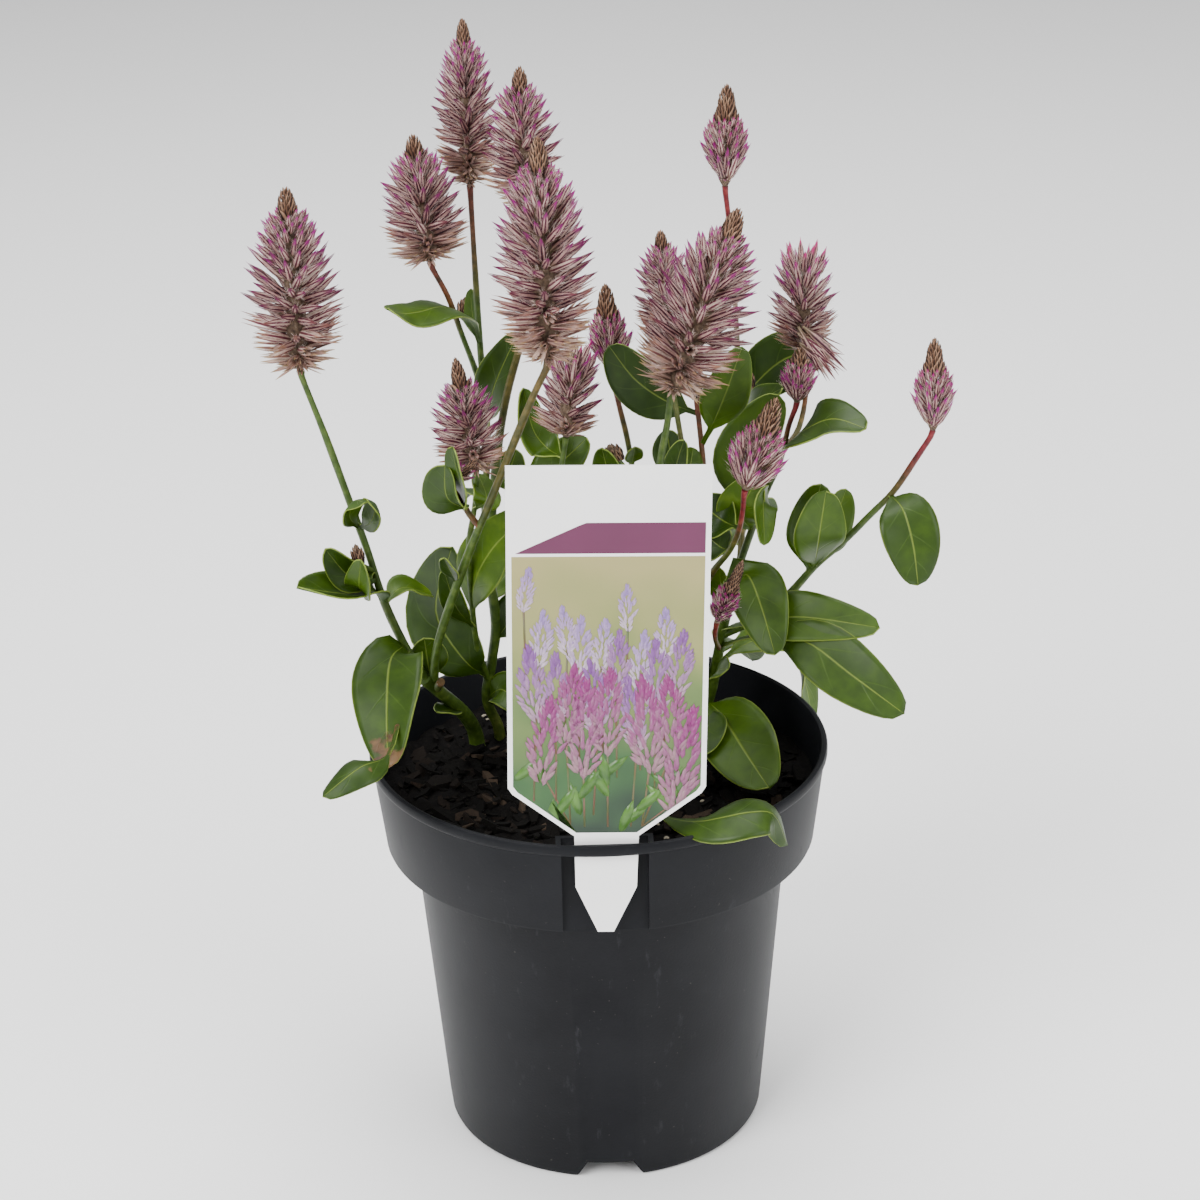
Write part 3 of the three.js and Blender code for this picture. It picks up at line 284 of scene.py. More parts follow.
        },
        "leaves": [
            leaf("d_trunk", near=(733, 592), tip=(775, 655, -20), wide=18, face=(0.15, -0.85, 0.5),
                via=[(748, 576, -4), (761, 606, -13)], fold=8, stalk=0.04, fullest=0.5),
            leaf("d_trunk", near=(723, 630), tip=(880, 628, -16), wide=16.5, face=(0, -0.7, 0.75),
                via=[(752, 622, -4), (798, 617, -10)], fold=8, stalk=0.3, fullest=0.5),
            leaf("d_trunk", near=(720, 645), tip=(904, 714, -32), wide=19, face=(-0.05, -0.8, 0.6),
                via=[(762, 636, -6), (806, 642, -16), (850, 674, -24)], fold=6, stalk=0.3,
                fullest=0.52),
            leaf("d_trunk", near=(716, 664), tip=(813, 722, 46), wide=17, face=(0.4, -0.3, 0.85),
                via=[(748, 643, 28), (782, 640, 38), (802, 672, 46)], fold=12, stalk=0.1),
            leaf("d_wide", near=(808, 571), tip=(821, 484, 0), wide=15, face=(-0.2, -0.9, 0.2),
                via=[(811, 536, 0)], fold=8, stalk=0.06),
            leaf("d_wide", near=(813, 567), tip=(826, 491, -10), wide=15.5, face=(0.1, -0.95, 0.2),
                via=[(819, 536, -9)], fold=6, stalk=0.06),
            leaf("d_wide", near=(819, 563), tip=(846, 489, 14), wide=12.5, face=(0.3, -0.9, 0.1),
                via=[(831, 532, 10)], fold=8, stalk=0.06),
            leaf("d_wide", near=(891, 495), tip=(918, 585, -14), wide=17.5, face=(0.05, -0.9, 0.4),
                via=[(903, 510, -8), (913, 545, -12)], fold=4, stalk=0.05, fullest=0.5),
            leaf("d_mauve", near=(782, 454), tip=(866, 429, -18), wide=18, face=(0, -0.42, 0.9),
                via=[(804, 431, -6), (833, 419, -12)], fold=6, stalk=0.02, fullest=0.4),
            leaf("d_mauve", near=(752, 530), tip=(758, 478, 0), wide=15, face=(-0.3, -0.9, 0.2),
                via=[(741, 512, 2)], fold=12, stalk=0.05),
            leaf("d_mauve", near=(768, 488), tip=(764, 545, -8), wide=9, face=(0.5, -0.8, 0.1),
                via=[(763, 504, -4)], fold=20, stalk=0.05),
            leaf("d_mauve", near=(757, 516), tip=(779, 395, 20), wide=18, face=(-0.1, -0.95, 0.2),
                via=[(742, 462, 16)], fold=8, stalk=0.08),
            leaf("d_back", near=(739, 426), tip=(766, 403, 34), wide=7, face=(0, -0.8, 0.6), arch=2),
            leaf("d_back", near=(738, 408), tip=(832, 350, 40), wide=18, face=(-0.1, -0.9, 0.4),
                via=[(757, 382, 50), (787, 358, 46)], fold=8, stalk=0.05, fullest=0.55),
            leaf("d_back", near=(738, 426), tip=(783, 388, 22), wide=9, face=(0, -0.7, 0.7),
                via=[(753, 405, 30)], fold=16),
            leaf("d_pink", near=(740, 528), tip=(696, 500, 4), wide=15, face=(-0.2, -0.85, 0.5),
                via=[(722, 520, 2)]),
            leaf("d_pink", near=(732, 548), tip=(700, 530, 16), wide=12, face=(-0.2, -0.8, 0.6),
                via=[(722, 548, 8)]),
            leaf("d_trunk", near=(726, 614), tip=(720, 568, 6), wide=9, face=(-0.5, -0.8, 0.2), arch=1),
            leaf("d_trunk", near=(707, 700), tip=(769, 788, -22), wide=23, face=(-0.1, -0.7, 0.75),
                via=[(722, 716, 12), (745, 752, -8)], fold=5, stalk=0.08, fullest=0.5),
            leaf("d_trunk", near=(703, 716), tip=(699, 756, -10), wide=15, face=(-0.1, -0.8, 0.6),
                via=[(704, 726, 6)]),
            leaf("d_trunk", near=(713, 676), tip=(728, 669, 6), wide=9, face=(-0.2, -0.7, 0.7), arch=2),
            leaf("d_blunt", near=(697, 414), tip=(609, 346, 7), wide=16, face=(-0.1, -0.9, 0.3),
                via=[(668, 402, 9), (636, 380, 9)], fold=8, stalk=0.1),
            leaf("d_blunt", near=(703, 446), tip=(742, 347, -6), wide=14, face=(0.1, -0.95, 0.2),
                via=[(714, 421, 2), (726, 392, -3)], fold=8, stalk=0.22),
            leaf("d_back", near=(741, 500), tip=(768, 516, 68), wide=14, face=(0.2, 0.5, 0.8),
                via=[(752, 502, 56)]),
            leaf("d_back", near=(740, 545), tip=(700, 540, 60), wide=16, face=(-0.2, 0.5, 0.8),
                via=[(724, 536, 48)]),
            leaf("d_trunk", near=(718, 655), tip=(752, 660, 62), wide=17, face=(0.2, 0.5, 0.8),
                via=[(736, 640, 46)]),
        ],
    },
    "shoot_front": {
        "stems": {
            "e_trunk": {"root": (13, -24), "thick": (1.5, 1), "route": [(640, 800, -26),
                (637, 770, -27)]},
        },
        "leaves": [
            leaf("e_trunk", near=(640, 800), tip=(787, 845, -59), wide=17, face=(0.1, -0.3, 0.95),
                via=[(668, 818, -47), (700, 822, -60), (724, 818, -63), (750, 813, -63),
                (772, 814, -61)], fold=-18, stalk=0.12, fullest=0.52),
            leaf("e_trunk", near=(638, 775), tip=(606, 772, -38), wide=13, face=(-0.1, -0.6, 0.8),
                arch=3),
            leaf("e_trunk", near=(638, 772), tip=(650, 742, -12), wide=13, face=(0.1, -0.6, 0.8),
                arch=3),
        ],
    },
}

SPIKES = {
    "spike_left": {"foot": (300, 370, -5), "tip": (285, 185, -12), "radius": 15},
    "spike_side": {"foot": (430, 262, 15), "tip": (412, 133, 15), "radius": 14},
    "spike_tall": {"foot": (470, 185, 30), "tip": (462, 17, 30), "radius": 11},
    "spike_behind": {"foot": (525, 208, 10), "tip": (519, 65, 6), "radius": 12.5},
    "spike_great": {"foot": (548, 362, -45), "tip": (537, 135, -50), "radius": 15.5},
    "spike_slender": {"foot": (725, 186, 45), "tip": (727, 83, 45), "radius": 8.3, "state": "young"},
    "spike_screened": {"foot": (669, 340, 16), "tip": (660, 229, 16), "radius": 10.5},
    "spike_leaning": {"foot": (672, 392, -25), "tip": (740, 207, -25), "radius": 16.5},
    "spike_shedding": {"foot": (803, 351, 12), "tip": (803, 240, 12), "radius": 11.8, "state": "open"},
    "spike_tucked": {"foot": (797, 402, 0), "tip": (800, 347, -2), "radius": 6.4, "state": "young",
        "cone": 0.2},
    "spike_far_right": {"foot": (933, 430, 0), "tip": (935, 337, 0), "radius": 7.4, "state": "young"},
    "spike_pink": {"foot": (745, 490, -18), "tip": (777, 397, -18), "radius": 9.4, "state": "young"},
    "spike_tiny": {"foot": (717, 622, -14), "tip": (743, 560, -24), "radius": 5, "state": "young",
        "cone": 0.4},
    "spike_orange": {"foot": (611, 372, 20), "tip": (605, 283, 20), "radius": 7.6, "state": "young"},
    "spike_low": {"foot": (476, 471, 0), "tip": (455, 357, -4), "radius": 12.5, "cone": 0.19},
    "spike_under": {"foot": (566, 437, -8), "tip": (574, 338, -8), "radius": 11.4, "state": "open"},
    "spike_nodding": {"foot": (455, 481, -27), "tip": (478, 458, -27), "radius": 3.6, "state": "young",
        "cone": 0.7},
}

BUDS = {
    "bud_left": {"foot": (359, 561, -10), "tip": (355, 544, -10), "radius": 2.2},
    "bud_back": {"foot": (463, 314, 37), "tip": (465, 297, 37), "radius": 2.3},
    "bud_middle": {"foot": (617, 458, 10), "tip": (608, 445, 8), "radius": 3},
    "bud_right": {"foot": (750, 384, 36), "tip": (748, 371, 36), "radius": 1.9},
    "bud_blunt": {"foot": (696, 396, 8), "tip": (694, 378, 8), "radius": 2.2},
}


# Meshes

def active(obj):
    bpy.ops.object.select_all(action="DESELECT")
    obj.select_set(True)
    bpy.context.view_layer.objects.active = obj
    return obj


def facing_out(obj):
    """The mesh with every face turned outwards."""
    active(obj)
    bpy.ops.object.mode_set(mode="EDIT")
    bpy.ops.mesh.select_all(action="SELECT")
    bpy.ops.mesh.normals_make_consistent(inside=False)
    bpy.ops.object.mode_set(mode="OBJECT")
    return obj


def drawn_up(name, sides, rings):
    """A closed turned shape: a face is extruded from ring to ring, each (radius, height), in mm."""
    bpy.ops.object.select_all(action="DESELECT")
    r, z = rings[0]
    bpy.ops.mesh.primitive_circle_add(vertices=sides, radius=r * MM, fill_type="NGON", enter_editmode=True)
    obj = bpy.context.object
    obj.name = name
    bpy.ops.transform.translate(value=(0, 0, z * MM))
    for next_r, next_z in rings[1:]:
        bpy.ops.mesh.extrude_region_move(TRANSFORM_OT_translate={"value": (0, 0, (next_z - z) * MM)})
        share = next_r / r
        bpy.ops.transform.resize(value=(share, share, 1), center_override=(0, 0, next_z * MM))
        r, z = next_r, next_z
    bpy.ops.object.mode_set(mode="OBJECT")
    return facing_out(obj)


def block(name, x, y, z):
    """A box between pairs of limits in mm."""
    bpy.ops.object.select_all(action="DESELECT")
    middle = [(a + b) / 2 * MM for a, b in (x, y, z)]
    bpy.ops.mesh.primitive_cube_add(size=1, location=middle)
    obj = bpy.context.object
    obj.name = name
    obj.scale = [(b - a) * MM for a, b in (x, y, z)]
    bpy.ops.object.transform_apply(location=True, rotation=True, scale=True)
    return obj


def applied(obj, kind, **settings):
    """A modifier on obj, applied at once."""
    active(obj)
    modifier = obj.modifiers.new(kind.lower(), kind)
    for key, value in settings.items():
        setattr(modifier, key, value)
    bpy.ops.object.modifier_apply(modifier=modifier.name)
    return obj


def cut(obj, tool, operation="DIFFERENCE"):
    applied(obj, "BOOLEAN", operation=operation, object=tool, solver="EXACT")
    bpy.data.objects.remove(tool)
    return obj


def turned(obj, angle):
    """The mesh turned about the pot's axis."""
    c, s = math.cos(angle), math.sin(angle)
    co = places(obj)
    co[:, :2] = co[:, :2] @ np.array([[c, s], [-s, c]])
    move(obj, co)
    return obj


def places(obj):
    """The places of the mesh's points, in metres."""
    co = np.empty(len(obj.data.vertices) * 3)
    obj.data.vertices.foreach_get("co", co)
    return co.reshape(-1, 3)


def move(obj, co):
    obj.data.vertices.foreach_set("co", np.asarray(co, float).ravel())
    obj.data.update()


def smooth(obj, degrees=35):
    active(obj)
    bpy.ops.object.shade_smooth_by_angle(angle=math.radians(degrees))
    return obj


def worn(obj, slot, replaced, *materials):
    """Finish of a piece: its materials, its body and the CAD nodes that it stands for, which are hidden. slot
    is not used.
    """
    for m in materials:
        obj.data.materials.append(m)
    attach(obj, "root")
    if replaced:
        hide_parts(*replaced)
    return obj


class Shape:
    """Points in mm, faces as lists of point numbers, and values on the points by attribute name."""

    def __init__(self, points, faces, **values):
        self.points = np.asarray(points, float)
        self.sizes = np.array([len(f) for f in faces], int)
        self.corners = np.array([i for f in faces for i in f], int)
        self.values = {k: np.asarray(v, float) for k, v in values.items()}

    def placed(self, points, **values):
        """A copy with other points, and with added or changed values."""
        copy = Shape.__new__(Shape)
        copy.points = points
        copy.sizes = self.sizes
        copy.corners = self.corners
        n = len(points)
        copy.values = {**self.values, **{k: np.full(n, v) for k, v in values.items()}}
        return copy


def taken(obj):
    """The shape of a modelled object, in mm. The object is removed."""
    faces = [list(p.vertices) for p in obj.data.polygons]
    shape = Shape(places(obj) / MM, faces)
    bpy.data.objects.remove(obj)
    return shape


def merged(shapes):
    """One shape of several."""
    start = np.cumsum([0] + [len(s.points) for s in shapes])
    whole = shapes[0].placed(np.concatenate([s.points for s in shapes]))
    whole.corners = np.concatenate([s.corners + start[i] for i, s in enumerate(shapes)])
    whole.sizes = np.concatenate([s.sizes for s in shapes])
    whole.values = {k: np.concatenate([s.values[k] for s in shapes]) for k in shapes[0].values}
    return whole


def joined(name, shapes):
    """One mesh object of many shapes, with their values as attributes."""
    whole = merged(shapes)
    mesh = bpy.data.meshes.new(name)
    mesh.vertices.add(len(whole.points))
    mesh.vertices.foreach_set("co", (whole.points * MM).ravel())
    mesh.loops.add(len(whole.corners))
    mesh.loops.foreach_set("vertex_index", whole.corners)
    mesh.polygons.add(len(whole.sizes))
    mesh.polygons.foreach_set("loop_start", np.concatenate([[0], np.cumsum(whole.sizes)[:-1]]))
    mesh.update(calc_edges=True)
    for key, column in whole.values.items():
        mesh.attributes.new(key, "FLOAT", "POINT").data.foreach_set("value", column)
    mesh.validate()
    obj = bpy.data.objects.new(name, mesh)
    bpy.context.scene.collection.objects.link(obj)
    return obj


# Curves of the stems and leaves

def run_of(points, count):
    """Places along a smooth curve through the points (centripetal Catmull-Rom), even in its parameter."""
    p = np.array([tuple(v) for v in points], float)
    p = np.vstack([2 * p[0] - p[1], p, 2 * p[-1] - p[-2]])
    spans = len(p) - 3
    result = []
    for t in np.linspace(0, spans, count):
        i = min(int(t), spans - 1)
        w = t - i
        a, b, c, d = p[i : i + 4]
        d0, d1, d2 = (max(np.linalg.norm(v), 1e-6) ** 0.5 for v in (b - a, c - b, d - c))
        m1 = ((b - a) / d0 - (c - a) / (d0 + d1) + (c - b) / d1) * d1
        m2 = ((c - b) / d1 - (d - b) / (d1 + d2) + (d - c) / d2) * d1
        cubic = (2 * b - 2 * c + m1 + m2) * w**3 + (3 * c - 3 * b - 2 * m1 - m2) * w**2 + m1 * w + b
        result.append(cubic)
    return np.array(result)


def evenly(curve, count):
    """The curve's places at even lengths."""
    steps = np.linalg.norm(np.diff(curve, axis=0), axis=1)
    length = np.concatenate([[0], np.cumsum(steps)])
    wanted = np.linspace(0, length[-1], count)
    return np.stack([np.interp(wanted, length, curve[:, k]) for k in range(3)], -1)


def nearest(curve, place):
    """The curve's point nearest to a place in the view."""
    away = np.linalg.norm(pictured(curve) - np.array(place[:2]), axis=1)
    return curve[away.argmin()]


def unit(v):
    return v / np.maximum(np.linalg.norm(v, axis=-1, keepdims=True), 1e-9)


# Materials

PER_MM = 1 / MM  # a noise this fine has marks one millimetre across


def linear(hex_colour):
    """An sRGB hex colour as linear red, green, blue and alpha."""
    channels = [int(hex_colour[i : i + 2], 16) / 255 for i in (1, 3, 5)]
    return (*[c / 12.92 if c <= 0.04045 else ((c + 0.055) / 1.055) ** 2.4 for c in channels], 1)


def added(tree, kind, inputs, out=0, stops=(), **settings):
    """Adds a node and gives its output: an input is a link, a hex colour or a plain value."""
    node = tree.nodes.new(kind)
    for key, value in settings.items():
        setattr(node, key, value)
    for key, value in inputs.items():
        if isinstance(value, bpy.types.NodeSocket):
            tree.links.new(value, node.inputs[key])
        else:
            node.inputs[key].default_value = linear(value) if isinstance(value, str) else value
    for i, (place, colour) in enumerate(stops):
        marks = node.color_ramp.elements
        mark = marks[i] if i < 2 else marks.new(place)
        mark.position, mark.color = place, linear(colour)
    return node.outputs[out] if node.outputs else node


def started(name):
    """An empty material and the function that adds to it."""
    material = bpy.data.materials.new(name)
    material.use_nodes = True
    material.node_tree.nodes.clear()
    return material, functools.partial(added, material.node_tree)


def ended(material, add, inputs):
    """Closes a material with its one shader."""
    add("ShaderNodeOutputMaterial", {"Surface": add("ShaderNodeBsdfPrincipled", inputs)})
    return material


def moulded_polypropylene():
    """Charcoal polypropylene, injection moulded: satin, faintly mottled, with pale scuffs and dust."""
    material, add = started("moulded_polypropylene")
    place = add("ShaderNodeTexCoord", {}, "Object")
    cloudy = add("ShaderNodeTexNoise", {"Vector": place, "Scale": PER_MM / 28, "Detail": 4})
    body = add("ShaderNodeValToRGB", {0: cloudy}, stops=[(0.3, "#101114"), (0.7, "#17181b")])
    wiped = add("ShaderNodeMapping", {"Vector": place, "Scale": (1, 1, 0.35)})
    rubbed = add("ShaderNodeTexNoise", {"Vector": wiped, "Scale": PER_MM / 5, "Detail": 6, "Roughness": 0.7})
    scuffs = add("ShaderNodeMapRange", {0: rubbed, 1: 0.6, 2: 0.74, 3: 0, 4: 0.1})
    marked = add("ShaderNodeMix", {0: scuffs, 6: body, 7: "#6d6e73"}, 2, data_type="RGBA")
    dust = add("ShaderNodeTexNoise", {"Vector": place, "Scale": PER_MM / 1.2, "Detail": 2})
    specks = add("ShaderNodeMapRange", {0: dust, 1: 0.73, 2: 0.79, 3: 0, 4: 0.12})
    dusty = add("ShaderNodeMix", {0: specks, 6: marked, 7: "#8d867c"}, 2, data_type="RGBA")
    sheen = add("ShaderNodeMath", {0: scuffs, 1: 1.2, 2: 0.47}, operation="MULTIPLY_ADD")
    pebbled = add("ShaderNodeTexNoise", {"Vector": place, "Scale": PER_MM / 0.7, "Detail": 3})
    bump = add("ShaderNodeBump", {"Height": pebbled, "Distance": 0.03 * MM})
    look = {"Base Color": dusty, "Roughness": sheen, "Specular IOR Level": 0.11, "Normal": bump}
    return ended(material, add, look)


def bark_mix():
    """Bark and compost potting mix: matt, near-black brown when damp, browner on dry pieces."""
    material, add = started("bark_potting_mix")
    place = add("ShaderNodeTexCoord", {}, "Object")
    tone = add("ShaderNodeAttribute", {}, "Fac", attribute_name="tone")
    fine = add("ShaderNodeTexNoise", {"Vector": place, "Scale": PER_MM / 2.2, "Detail": 5})
    damp = add("ShaderNodeValToRGB", {0: fine}, stops=[(0.3, "#040303"), (0.62, "#0b0908"), (0.8, "#191411")])
    stops = [(0.0, "#050403"), (0.55, "#0c0a08"), (0.85, "#1a1410"), (1.0, "#382e25")]
    bark = add("ShaderNodeValToRGB", {0: tone}, stops=stops)
    chip = add("ShaderNodeMapRange", {0: tone, 1: 0.02, 2: 0.1})
    wood = add("ShaderNodeMix", {0: chip, 6: damp, 7: bark}, 2, data_type="RGBA")
    pale = add("ShaderNodeMapRange", {0: tone, 1: 1.5, 2: 1.6})
    colour = add("ShaderNodeMix", {0: pale, 6: wood, 7: "#8d8676"}, 2, data_type="RGBA")
    bump = add("ShaderNodeBump", {"Height": fine, "Distance": 0.5 * MM})
    look = {"Base Color": colour, "Roughness": 0.95, "Specular IOR Level": 0.12, "Normal": bump}
    return ended(material, add, look)


def white_sheet_plastic():
    """White polypropylene sheet, stamped: smooth and slightly glossy, with a faint ripple."""
    material, add = started("white_sheet_polypropylene")
    place = add("ShaderNodeTexCoord", {}, "Object")
    soft = add("ShaderNodeTexNoise", {"Vector": place, "Scale": PER_MM / 30})
    shade = add("ShaderNodeValToRGB", {0: soft}, stops=[(0.2, "#f6f6f4"), (0.8, "#fdfdfc")])
    ripple = add("ShaderNodeTexNoise", {"Vector": place, "Scale": PER_MM / 6})
    bump = add("ShaderNodeBump", {"Height": ripple, "Distance": 0.02 * MM})
    return ended(material, add, {"Base Color": shade, "Roughness": 0.32, "IOR": 1.49, "Normal": bump})


DRY_INK = {"Roughness": 0.34, "IOR": 1.49}


def printed_ink(name, stops, size_mm):
    """Offset ink on plastic: flat, softly mottled in the colours of its stops."""
    material, add = started(name)
    place = add("ShaderNodeTexCoord", {}, "Object")
    mottle = add("ShaderNodeTexNoise", {"Vector": place, "Scale": PER_MM / size_mm})
    colour = add("ShaderNodeValToRGB", {0: mottle}, stops=stops)
    return ended(material, add, {"Base Color": colour, **DRY_INK})


def meadow_ink():
    """Ink of the picture's ground: out-of-focus cream and sage above, deep green at the foot."""
    material, add = started("meadow_ink")
    place = add("ShaderNodeTexCoord", {}, "Object")
    high = add("ShaderNodeSeparateXYZ", {0: place}, "Z")
    rise = add("ShaderNodeMapRange", {0: high, 1: TAG_NECK_Z * MM, 2: (TAG_TOP_Z - 26) * MM})
    blur = add("ShaderNodeTexNoise", {"Vector": place, "Scale": PER_MM / 16, "Detail": 1})
    shift = add("ShaderNodeMath", {0: blur, 1: 0.5, 2: -0.25}, operation="MULTIPLY_ADD")
    level = add("ShaderNodeMath", {0: rise, 1: shift}, operation="ADD")
    stops = [
        (0.0, "#0f2a17"), (0.2, "#2c5426"), (0.45, "#5f733a"),
        (0.7, "#85884f"), (1.0, "#9a925e"),
    ]
    colour = add("ShaderNodeValToRGB", {0: level}, stops=stops)
    return ended(material, add, {"Base Color": colour, **DRY_INK})


def plume_ink(name, low, middle, high):
    """Ink of a printed plume: streaked, paler at its foot and bright at its tip, by its own rise."""
    material, add = started(name)
    place = add("ShaderNodeTexCoord", {}, "Object")
    rise = add("ShaderNodeAttribute", {}, "Fac", attribute_name="rise")
    drawn = add("ShaderNodeMapping", {"Vector": place, "Scale": (1, 1, 0.25)})
    streak = add("ShaderNodeTexNoise", {"Vector": drawn, "Scale": PER_MM / 0.9})
    shift = add("ShaderNodeMath", {0: streak, 1: 1.2, 2: -0.6}, operation="MULTIPLY_ADD")
    level = add("ShaderNodeMath", {0: rise, 1: shift}, operation="ADD")
    colour = add("ShaderNodeValToRGB", {0: level}, stops=[(0.0, low), (0.5, middle), (1.0, high)])
    return ended(material, add, {"Base Color": colour, **DRY_INK})


def green_stem():
    """Herb stem: green and waxy, finely ribbed, flushed red-brown where its blush value is high."""
    material, add = started("herb_stem")
    place = add("ShaderNodeTexCoord", {}, "Object")
    blush = add("ShaderNodeAttribute", {}, "Fac", attribute_name="blush")
    streak = add("ShaderNodeTexNoise", {"Vector": place, "Scale": PER_MM / 2.5, "Detail": 4})
    stops = [(0.3, "#2c400d"), (0.55, "#3d5218"), (0.75, "#546528")]
    green = add("ShaderNodeValToRGB", {0: streak}, stops=stops)
    stops = [(0.3, "#3f0c12"), (0.55, "#6b1a22"), (0.8, "#93403a")]
    red = add("ShaderNodeValToRGB", {0: streak}, stops=stops)
    flush = add("ShaderNodeMapRange", {0: blush, 1: 0.25, 2: 1.0})
    colour = add("ShaderNodeMix", {0: flush, 6: green, 7: red}, 2, data_type="RGBA")
    bump = add("ShaderNodeBump", {"Height": streak, "Distance": 0.15 * MM})
    look = {"Base Color": colour, "Roughness": 0.45, "Specular IOR Level": 0.35, "Normal": bump}
    return ended(material, add, look)


def leaf_marks(add):
    """Values on a blade's own map: the rib, the veins and the margin."""
    uv = add("ShaderNodeUVMap", {}, uv_map="blade")
    along = add("ShaderNodeSeparateXYZ", {0: uv}, "Y")
    across = add("ShaderNodeSeparateXYZ", {0: uv}, "X")
    signed = add("ShaderNodeMath", {0: across, 1: 2, 2: -1}, operation="MULTIPLY_ADD")
    side = add("ShaderNodeMath", {0: signed}, operation="ABSOLUTE")
    rib = add("ShaderNodeMapRange", {0: side, 1: 0.01, 2: 0.045, 3: 1, 4: 0})
    swept = add("ShaderNodeMath", {0: side, 1: -1.9}, operation="MULTIPLY")
    wave = add("ShaderNodeMath", {0: along, 1: 8.5, 2: swept}, operation="MULTIPLY_ADD")
    saw = add("ShaderNodeMath", {0: wave, 1: 1}, operation="PINGPONG")
    thin = add("ShaderNodeMapRange", {0: saw, 1: 0.0, 2: 0.09, 3: 1, 4: 0})
    inner = add("ShaderNodeMapRange", {0: side, 1: 0.9, 2: 0.4})
    veins = add("ShaderNodeMath", {0: thin, 1: inner}, operation="MULTIPLY")
    margin = add("ShaderNodeMapRange", {0: side, 1: 0.955, 2: 0.99})
    return rib, veins, margin


def leaf_upper():
    """Upper side of a fleshy leaf: mid green, satin, with a pale rib, faint veins and a pale edge."""
    material, add = started("leaf_upper_side")
    rib, veins, margin = leaf_marks(add)
    place = add("ShaderNodeTexCoord", {}, "Object")
    tone = add("ShaderNodeAttribute", {}, "Fac", attribute_name="tone")
    age = add("ShaderNodeAttribute", {}, "Fac", attribute_name="age")
    mottle = add("ShaderNodeTexNoise", {"Vector": place, "Scale": PER_MM / 5, "Detail": 4})
    own = add("ShaderNodeMath", {0: tone, 1: 0.5}, operation="MULTIPLY")
    level = add("ShaderNodeMath", {0: mottle, 1: 0.55, 2: own}, operation="MULTIPLY_ADD")
    stops = [(0.15, "#172b02"), (0.45, "#273d03"), (0.75, "#3b5505"), (1.0, "#5c750f")]
    green = add("ShaderNodeValToRGB", {0: level}, stops=stops)
    veined_by = add("ShaderNodeMath", {0: veins, 1: 0.1}, operation="MULTIPLY")
    veined = add("ShaderNodeMix", {0: veined_by, 6: green, 7: "#6a8a28"}, 2, data_type="RGBA")
    pale = add("ShaderNodeMath", {0: rib, 1: margin}, operation="MAXIMUM")
    pale_by = add("ShaderNodeMath", {0: pale, 1: 0.42}, operation="MULTIPLY")
    ribbed = add("ShaderNodeMix", {0: pale_by, 6: veined, 7: "#8a9c3c"}, 2, data_type="RGBA")
    wilt = add("ShaderNodeTexNoise", {"Vector": place, "Scale": PER_MM / 9, "Detail": 4})
    decay = add("ShaderNodeMath", {0: wilt, 1: age}, operation="ADD")
    burnt_by = add("ShaderNodeMapRange", {0: decay, 1: 0.98, 2: 1.03})
    stops = [(0.3, "#3a2614"), (0.6, "#6f5434"), (0.85, "#a08a62")]
    dry = add("ShaderNodeValToRGB", {0: mottle}, stops=stops)
    colour = add("ShaderNodeMix", {0: burnt_by, 6: ribbed, 7: dry}, 2, data_type="RGBA")
    furrow = add("ShaderNodeMath", {0: veins, 1: 0.4, 2: rib}, operation="MULTIPLY_ADD")
    relief = add("ShaderNodeMath", {0: mottle, 1: 0.4}, operation="MULTIPLY")
    height = add("ShaderNodeMath", {0: relief, 1: furrow}, operation="SUBTRACT")
    bump = add("ShaderNodeBump", {"Height": height, "Distance": 0.2 * MM, "Strength": 0.6})
    look = {"Base Color": colour, "Roughness": 0.42, "Specular IOR Level": 0.28, "Normal": bump}
    return ended(material, add, look)


def leaf_under():
    """Underside of the leaf: paler, greyer and duller, with a raised rib."""
    material, add = started("leaf_underside")
    rib, veins, _ = leaf_marks(add)
    place = add("ShaderNodeTexCoord", {}, "Object")
    tone = add("ShaderNodeAttribute", {}, "Fac", attribute_name="tone")
    mottle = add("ShaderNodeTexNoise", {"Vector": place, "Scale": PER_MM / 5, "Detail": 4})
    own = add("ShaderNodeMath", {0: tone, 1: 0.4}, operation="MULTIPLY")
    level = add("ShaderNodeMath", {0: mottle, 1: 0.6, 2: own}, operation="MULTIPLY_ADD")
    stops = [(0.15, "#20340d"), (0.5, "#324916"), (0.9, "#506829")]
    green = add("ShaderNodeValToRGB", {0: level}, stops=stops)
    pale = add("ShaderNodeMath", {0: veins, 1: 0.4, 2: rib}, operation="MULTIPLY_ADD")
    pale_by = add("ShaderNodeMath", {0: pale, 1: 0.6}, operation="MULTIPLY", use_clamp=True)
    ribbed = add("ShaderNodeMix", {0: pale_by, 6: green, 7: "#8b9c5e"}, 2, data_type="RGBA")
    raised = add("ShaderNodeMath", {0: rib, 1: veins}, operation="ADD")
    bump = add("ShaderNodeBump", {"Height": raised, "Distance": 0.25 * MM, "Strength": 0.7})
    look = {"Base Color": ribbed, "Roughness": 0.62, "Specular IOR Level": 0.3, "Normal": bump}
    return ended(material, add, look)


def leaf_edge():
    """Cut edge of the blade: thin and pale yellow-green."""
    material, add = started("leaf_edge")
    place = add("ShaderNodeTexCoord", {}, "Object")
    speckle = add("ShaderNodeTexNoise", {"Vector": place, "Scale": PER_MM / 2})
    pale = add("ShaderNodeValToRGB", {0: speckle}, stops=[(0.3, "#5f7424"), (0.7, "#839440")])
    return ended(material, add, {"Base Color": pale, "Roughness": 0.5, "Specular IOR Level": 0.3})


